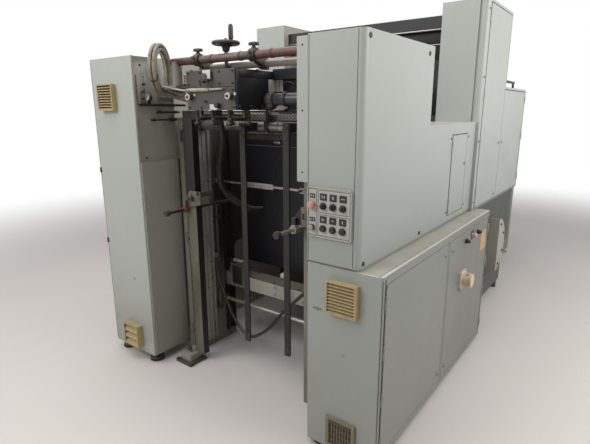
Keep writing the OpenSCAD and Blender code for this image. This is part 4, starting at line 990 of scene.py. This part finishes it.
# Bay: bolts of the columns and their feet, screws in the profiles and the plate, scale with its clamps
PLATE_Y = edge("bay_hoses", HIGH, "y")
SCALE_Y = edge("scale_bar", LOW, "y")
SCALE_Z = 1152
many("lug_bolts", bolt(15, 7), "-y", grid(-430, 238, (185, 815, 1455)))
(lathe([(18, 0), (19, 1), (19, 12), (17, 14)], 6) + lathe([(9, 13), (9, 30), (7, 33)], 18)).moved(
    -414, 170, 78).build("foot_nut", "oily_steel")
many("foot_anchors", bolt(17, 10), "+z", grid((-474, -346), (122, 236), 14))
many("profile_screws", socket(9, 2), "+x", grid(-426, (356, 433), range(130, 1460, 190)), "bright_steel")
many("channel_screws", dome(9, 3), "-y", grid(-438, 550, range(130, 1460, 190)))
for z in (1300, 640):
    many(f"plate_screws_{z}", socket(13, 4), "-y", grid((-400, -60, 60, 400), PLATE_Y, z))
marks = np.arange(-160, 40, 10)
many("scale_marks", face(0, 0, 1.2, 12, 0.4, 0.3, 0), "+z", grid(marks, SCALE_Y - 0.1, SCALE_Z - 2),
     "black_plastic")
many("scale_marks_long", face(0, 0, 1.4, 20, 0.4, 0.3, 0), "+z", grid(marks[::5], SCALE_Y - 0.1, SCALE_Z),
     "black_plastic")
many("scale_clamps", knob(18, 14, 6), "-y", grid((252, 300), SCALE_Y, SCALE_Z))
join(block([x - 9, x + 9], [486, 508], [SCALE_Z - 14, SCALE_Z + 14], 2) for x in (-438, 438)).build(
    "scale_ends", "bright_steel")

# Side guides: knurled knobs and a lock screw on each collar, a bolt and a dark window on the bracket, a
# black sheet of painted shade
LEFT_GUIDE = -387
RIGHT_GUIDE = 438
GUIDE_Z = 1018
teeth = circle(72)
ripple = (18.6 + 0.7 * np.cos(18 * teeth))[:, None] * ray(teeth)
many("guide_knobs", stacked(ripple, ((0.93, 0), (1, 1.5), (1, 22), (0.9, 25), (0.6, 26))), "-y",
     grid((LEFT_GUIDE, RIGHT_GUIDE), 60, GUIDE_Z), "black_plastic", look="worn_black")
many("guide_lock_screws", knob(15, 14, 8), "+z",
     [(LEFT_GUIDE, 188, GUIDE_Z + 20), (RIGHT_GUIDE, 190, GUIDE_Z + 20)])
many("guide_bolts", bolt(13, 7), "-y", [(-364, 197, 1084)])
# painted shade: a black sheet for the shade in the bracket's window
face(-284, 1121, 24, 28, 1.5, 0.8, 197).build("guide_window_painted_shade", "black_plastic")

# Pile lift: bracket with its window, a black sheet of painted shade behind it, and roller at the left,
# clamps and bolts along the beam
BEAM = "lift_beam"
BEAM_Y = 530
BEAM_TOP = edge(BEAM, HIGH, "z")
rim(-302, 512, 124, 160, 5, 15, 6, BEAM_Y).build("lift_bracket", "mint_inner", BEAM)
# painted shade: a black sheet behind the bracket's window for the shade inside it
block([-350, -254], [BEAM_Y - 1.5, BEAM_Y + 0.5], [445, 579], 0.8).build(
    "lift_bracket_painted_shade", "black_plastic", BEAM)
rod((-352, 552, 604), "X", 96, 26).build("lift_roller", "pale_paint", BEAM)
join(block([x - 5, x + 5], [526, 568], [508, 614], 2) for x in (-356, -254)).build(
    "lift_roller_arms", "oily_steel", BEAM)
many("beam_bolts", bolt(15, 6), "-y", grid((-200, 20, 240, 380), BEAM_Y, (448, 494)), "pale_paint", BEAM)
many("beam_top_bolts", bolt(13, 6), "+z", grid((-200, 0, 200, 380), (548, 632), BEAM_TOP), body=BEAM)
many("angle_bolts", bolt(11, 1.6), "-y", grid((116, 144), 524, 470), body=BEAM)

# Towers: quarter-turn locks with dark slots, seams, clips and screws
HOUSING_SIDE = 910
locks = [(34, 1874), (34, 972), (641, 975), (640, 1862)]
many("tower_locks", lathe([(10.6, 0), (11, 0.5), (11, 2), (10.2, 3)], 24), "+x",
     [(HOUSING_SIDE, y, z) for y, z in locks])
many("tower_lock_slots", face(0, 0, 7, 15, 3.2, 0.6, 0, "yz"), "+z",
     [(HOUSING_SIDE + 3, y, z) for y, z in locks], "black_plastic")
face(879, 1425, 3, 940, 1.2, 0.5, 0.2).build("tower_corner_seam", "black_plastic")
many("strip_screws", dome(9, 3), "-y", grid(618, 2, (1340, 1600, 1860)))
face(-958, 980, 2.4, 1800, 1, 0.5, 0.2).build("left_tower_seam", "black_plastic")
join(block([-968, -950], [-4, 0.4], [z - 16, z + 16]) for z in (1237, 774)).build(
    "seam_clips", "oily_steel")
many("service_screws", socket(11, 3), "+x", grid(HOUSING_SIDE, (1046, 1366), (1010, 1440)))

# Lower cabinet: hinge barrels between the door's knuckles, dark joints, the lip along the ledge with a
# painted highlight, locks
CABINET_SIDE = edge("power_inlet", LOW, "x")
CABINET_TOP = edge("lower_cabinet", HIGH, "z")
REAR = "cabinet_door_rear"
BARREL = 24
GAP = 1.5
KNUCKLE = 62
knuckles = 105 + 229 * np.arange(4)
barrels = [z for z in np.arange(70, 872, BARREL + GAP)
           if all(z + BARREL < k - GAP or z > k + KNUCKLE for k in knuckles)]
many("hinge_barrels", lathe(eased(3.8, BARREL, 0.8), 16), "+z", grid(CABINET_SIDE + 1.5, 37, barrels),
     "mint_inner", look="dusty_mint")
for y, width in ((5, 5), (31, 9)):
    face(y, 486, width, 880, 1, 0.5, CABINET_SIDE, "yz").build(f"hinge_joint_{y}", "black_plastic")
face(1003, 806, 2, 1596, 0.8, 0.5, CABINET_TOP, "xy").build("ledge_joint", "oily_steel")
# pale strips on the ledge's edges: rubbed paint and a painted highlight
face(1012.4, 806, 15, 1596, 2, 0.8, CABINET_TOP, "xy").build("ledge_lip", "mint_paint", look="lip")
face(960, 4, 84, 7, 2, 0.8, CABINET_TOP, "xy").build("ledge_front_lip", "mint_paint", look="lip")
for body, y in (("cabinet_door_front", 765), (REAR, 875)):
    door_locks(body, "s", CABINET_SIDE, y, (130, 837))

# Rear cabinet door: switches on sleeves, bare plate, and the inlet's screws and lid
SLEEVE = 14
many("switch_rings", lathe([(13.6, 0), (14, 0.6), (14, 16), (12, 18)], 24), "+x",
     [(CABINET_SIDE + 0.2, 1110, 842), (CABINET_SIDE + 0.2, 1352, 848)], "black_plastic", REAR)
switches = [(22, 1110, 842), (20, 1352, 848)]
join(knob(d, 12, 2).facing("+x").moved(CABINET_SIDE + SLEEVE, y, z) for d, y, z in switches).build(
    "switch_knobs", "black_plastic", REAR)
many("main_switch", lathe([(13, 0), (14.6, 1), (14.6, 9), (12, 13), (6, 15)], 28), "+x",
     [(CABINET_SIDE + SLEEVE, 1238, 852)], "red_plastic", REAR)
face(1238, 852, 46, 58, 3, 1.4, CABINET_SIDE, "yz").build("main_switch_plate", "black_plastic", REAR)
face(1500, 759, 112, 134, 4, 1, CABINET_SIDE, "yz").build("bare_plate", "panel_plate", REAR, look="tan")
many("bare_plate_screws", dome(8, 3), "+x", grid(CABINET_SIDE + 0.6, (1451, 1549), (699, 819)),
     "bright_steel", REAR)
many("inlet_screws", socket(8, 3), "+x", grid(CABINET_SIDE + 14, (1040, 1130), (565, 655)), "bright_steel",
     REAR)
lid = lathe([(30, 0), (36, 1), (37, 4), (37, 9), (35, 11), (28, 11.5)], 36, "X").turned("Z", 18)
(lid.moved(1063, 1075, 612) + rod((1064, 1058, 652), "Y", 36, 9)).build("inlet_lid", "beige_plastic", REAR)

# Filter of the lower cabinet: crossed wires cut off at the frame and the mat behind them, and screws
many("cabinet_corner_screws", socket(9, 2.5), "+x", grid(CABINET_SIDE, 1606, (120, 480, 860)))
wires = join(block([-0.9, 0.9], [-5.6, -3.8], [-88, 88], 0.6).turned("Y", s * 45).moved(x, 0, 127)
             for s in (1, -1) for x in range(790, 892, 20))
Shape(np.clip(wires.points, (779, -9, 65), (901, 0, 189)), *wires.faces).build(
    "filter_wires", "bright_steel", look="dusty_wire")
face(840, 127, 124, 126, 2, 0.8, -0.4).build("filter_mat", "black_rubber", look="filter_mat")
many("vent_screws", dome(8, 3), "-y", grid((770, 910), -10, (56, 198)), "bright_steel")

# Operator's plate: drawn lines, tiles, signs of plain bars, turn grips and corner screws
PANEL_Y = -8.2
BUTTONS_X = (736, 784, 832)
BUTTONS_Z = (1108, 1206)
TILES_Z = (1246, 1143)
TILE_Y = -10
LEFT_X = 680
for u, v, w, h in ((LEFT_X, 1175, 44, 206), (787, 1225, 158, 98), (787, 1121, 158, 94)):
    rim(u, v, w, h, 3, 1.6, 0.5, PANEL_Y).build(f"panel_line_{u}_{v}", "black_plastic")
many("panel_tiles", face(0, 0, 27, 19, 1.5, 1.6, 0), "+z", grid(LEFT_X, PANEL_Y, TILES_Z), "black_plastic")
signs = [[(-6, 3, 13), (5, 3, 13)], [(0, 4, 13)], [(-5, 6, 4), (5, 6, 4)],
         [(-4, 3, 13), (4, 3, 7)], [(0, 9, 3)], [(0, 3, 13)]]
tiles = [(x, z) for z in (1245, 1147) for x in BUTTONS_X]
bars = [face(x + u, z, w, h, 1, 0.4, TILE_Y) for (x, z), group in zip(tiles, signs) for u, w, h in group]
bars += [face(LEFT_X + u, z, 4, 9, 1, 0.4, PANEL_Y - 1.6) for z in TILES_Z for u in (-6, 6)]
join(bars).build("panel_signs", "panel_plate", look="paper")
many("panel_grips", block([-3.4, 3.4], [-7, 0], [-11, 11], 1.6), "+z", grid(BUTTONS_X, -22, BUTTONS_Z[1]),
     "black_plastic")
many("panel_bezels", lathe([(14.4, 0), (16.4, 0.8), (16.4, 2.6), (14.6, 3.6), (12.6, 3.6)]), "-y",
     grid(BUTTONS_X, PANEL_Y, BUTTONS_Z) + [(LEFT_X, PANEL_Y, BUTTONS_Z[0])], "bright_steel")
many("grey_button", lathe([(11, 0), (12, 1), (12, 6), (10.6, 7.5), (5, 8.5)], 28), "-y",
     [(LEFT_X, -18, BUTTONS_Z[0])], "panel_plate", look="grey_cap")
many("panel_screws", dome(7, 2.4), "-y", grid((660, 866), PANEL_Y, (1072, 1278)), "black_plastic")

# Printing unit: grip on the bow handle, screws, locks and the bolts round the guard
UNIT_SIDE = -edge("unit_cover_left", LOW, "x")
(rod((904, 2152, 1806), "Y", 312, 19, 3) + rod((904, 2173, 1762), "Z", 44, 17)
 + rod((904, 2443, 1762), "Z", 44, 17)).build("bow_grip", "black_plastic")
many("unit_screws", socket(11, 3), "+x", grid(UNIT_SIDE, 1518, (1000, 1400, 1800, 2200)))
for body, y in (("unit_door_front", 2043), ("unit_door_rear", 2143)):
    door_locks(body, "", UNIT_SIDE, y, 1366)
GUARD_CENTRE = (edge("round_guard", HIGH, "x"), 2270, 520)
GUARD_BOLTS_R = 180
guard_bolts = GUARD_BOLTS_R * ray(np.radians([-70, -25, 25, 70]))
many("guard_bolts", bolt(15, 7), "+x", np.column_stack([[0] * 4, guard_bolts]) + GUARD_CENTRE)


# Camera, floor and light, in metres and degrees: the camera stands where the photo's stood, by the
# vanishing lines of the housings

EYE = (1.778, -3.767, 1.600)
HEADING = 36.71
TILT = 76.35
ROLL = -0.19
AMBIENT = 0.22
FLOOR_R = 16.0
FADE = (3.2, 7.5)
camera = bpy.data.cameras.new("camera")
camera.lens = 28.03
camera.sensor_width = 36.0
view = bpy.data.objects.new("camera", camera)
view.location = EYE
heading, tilt, roll = (Matrix.Rotation(math.radians(angle), 3, axis)
                       for angle, axis in ((HEADING, "Z"), (TILT, "X"), (ROLL, "Z")))
view.rotation_euler = (heading @ tilt @ roll).to_euler()
bpy.context.scene.collection.objects.link(view)
bpy.context.scene.camera = view


def seen(tree):
    """1 for camera, glossy and transmission rays, which see the white surroundings."""
    path = tree.nodes.new("ShaderNodeLightPath")
    total = path.outputs["Is Camera Ray"]
    for name in ("Is Glossy Ray", "Is Transmission Ray"):
        add = tree.nodes.new("ShaderNodeMath")
        add.operation = "ADD"
        add.use_clamp = True
        tree.links.new(total, add.inputs[0])
        tree.links.new(path.outputs[name], add.inputs[1])
        total = add.outputs[0]
    return total


def make_floor():
    """A pale disc that turns into the white of the backdrop with its distance from the machine."""
    f = Finish("studio_floor", (214, 208, 204), 0.65)
    f.layer(f.noise(0.8, 2), (206, 199, 194), 0.5).done()
    white = f.both(f.span(f.vector("LENGTH", f.place), *FADE), seen(f.tree))
    glow = f.node("ShaderNodeEmission", Color=(1, 1, 1, 1), Strength=1.0).outputs[0]
    blend = f.node("ShaderNodeMixShader", i0=white, i1=f.shader.outputs[0], i2=glow).outputs[0]
    f.feed(f.tree.nodes["Material Output"].inputs["Surface"], blend)
    mesh = bpy.data.meshes.new("floor")
    mesh.from_pydata(lifted(FLOOR_R * ray(circle(96)), 0).tolist(), [], [list(range(96))])
    mesh.materials.append(f.material)
    floor = bpy.data.objects.new("floor", mesh)
    bpy.context.scene.collection.objects.link(floor)


def softbox(name, place, aim, width, height, power):
    lamp = bpy.data.lights.new(name, "AREA")
    lamp.shape = "RECTANGLE"
    lamp.size = width
    lamp.size_y = height
    lamp.energy = power
    obj = bpy.data.objects.new(name, lamp)
    obj.location = place
    obj.rotation_euler = (Vector(aim) - Vector(place)).to_track_quat("-Z", "Y").to_euler()
    bpy.context.scene.collection.objects.link(obj)


make_floor()
softbox("key", (4.6, -0.4, 3.0), (0.9, -0.7, 1.25), 3.4, 1.4, 150)
softbox("overhead", (-0.3, -2.2, 5.0), (0, -1.2, 0), 5.0, 4.0, 150)
softbox("front_fill", (-1.8, -5.4, 3.7), (-0.3, -1.9, 1.5), 3.2, 2.0, 105)

# White where a ray sees it, and dimmer where it only lights the machine
world = bpy.data.worlds.new("studio")
bpy.context.scene.world = world
world.use_nodes = True
sky = world.node_tree.nodes["Background"]
sky.inputs["Color"].default_value = (1, 1, 1, 1)
level = world.node_tree.nodes.new("ShaderNodeMapRange")
level.inputs["To Min"].default_value = AMBIENT
level.inputs["To Max"].default_value = 1.0
world.node_tree.links.new(seen(world.node_tree), level.inputs["Value"])
world.node_tree.links.new(level.outputs[0], sky.inputs["Strength"])
bpy.context.scene.view_settings.view_transform = "Standard"
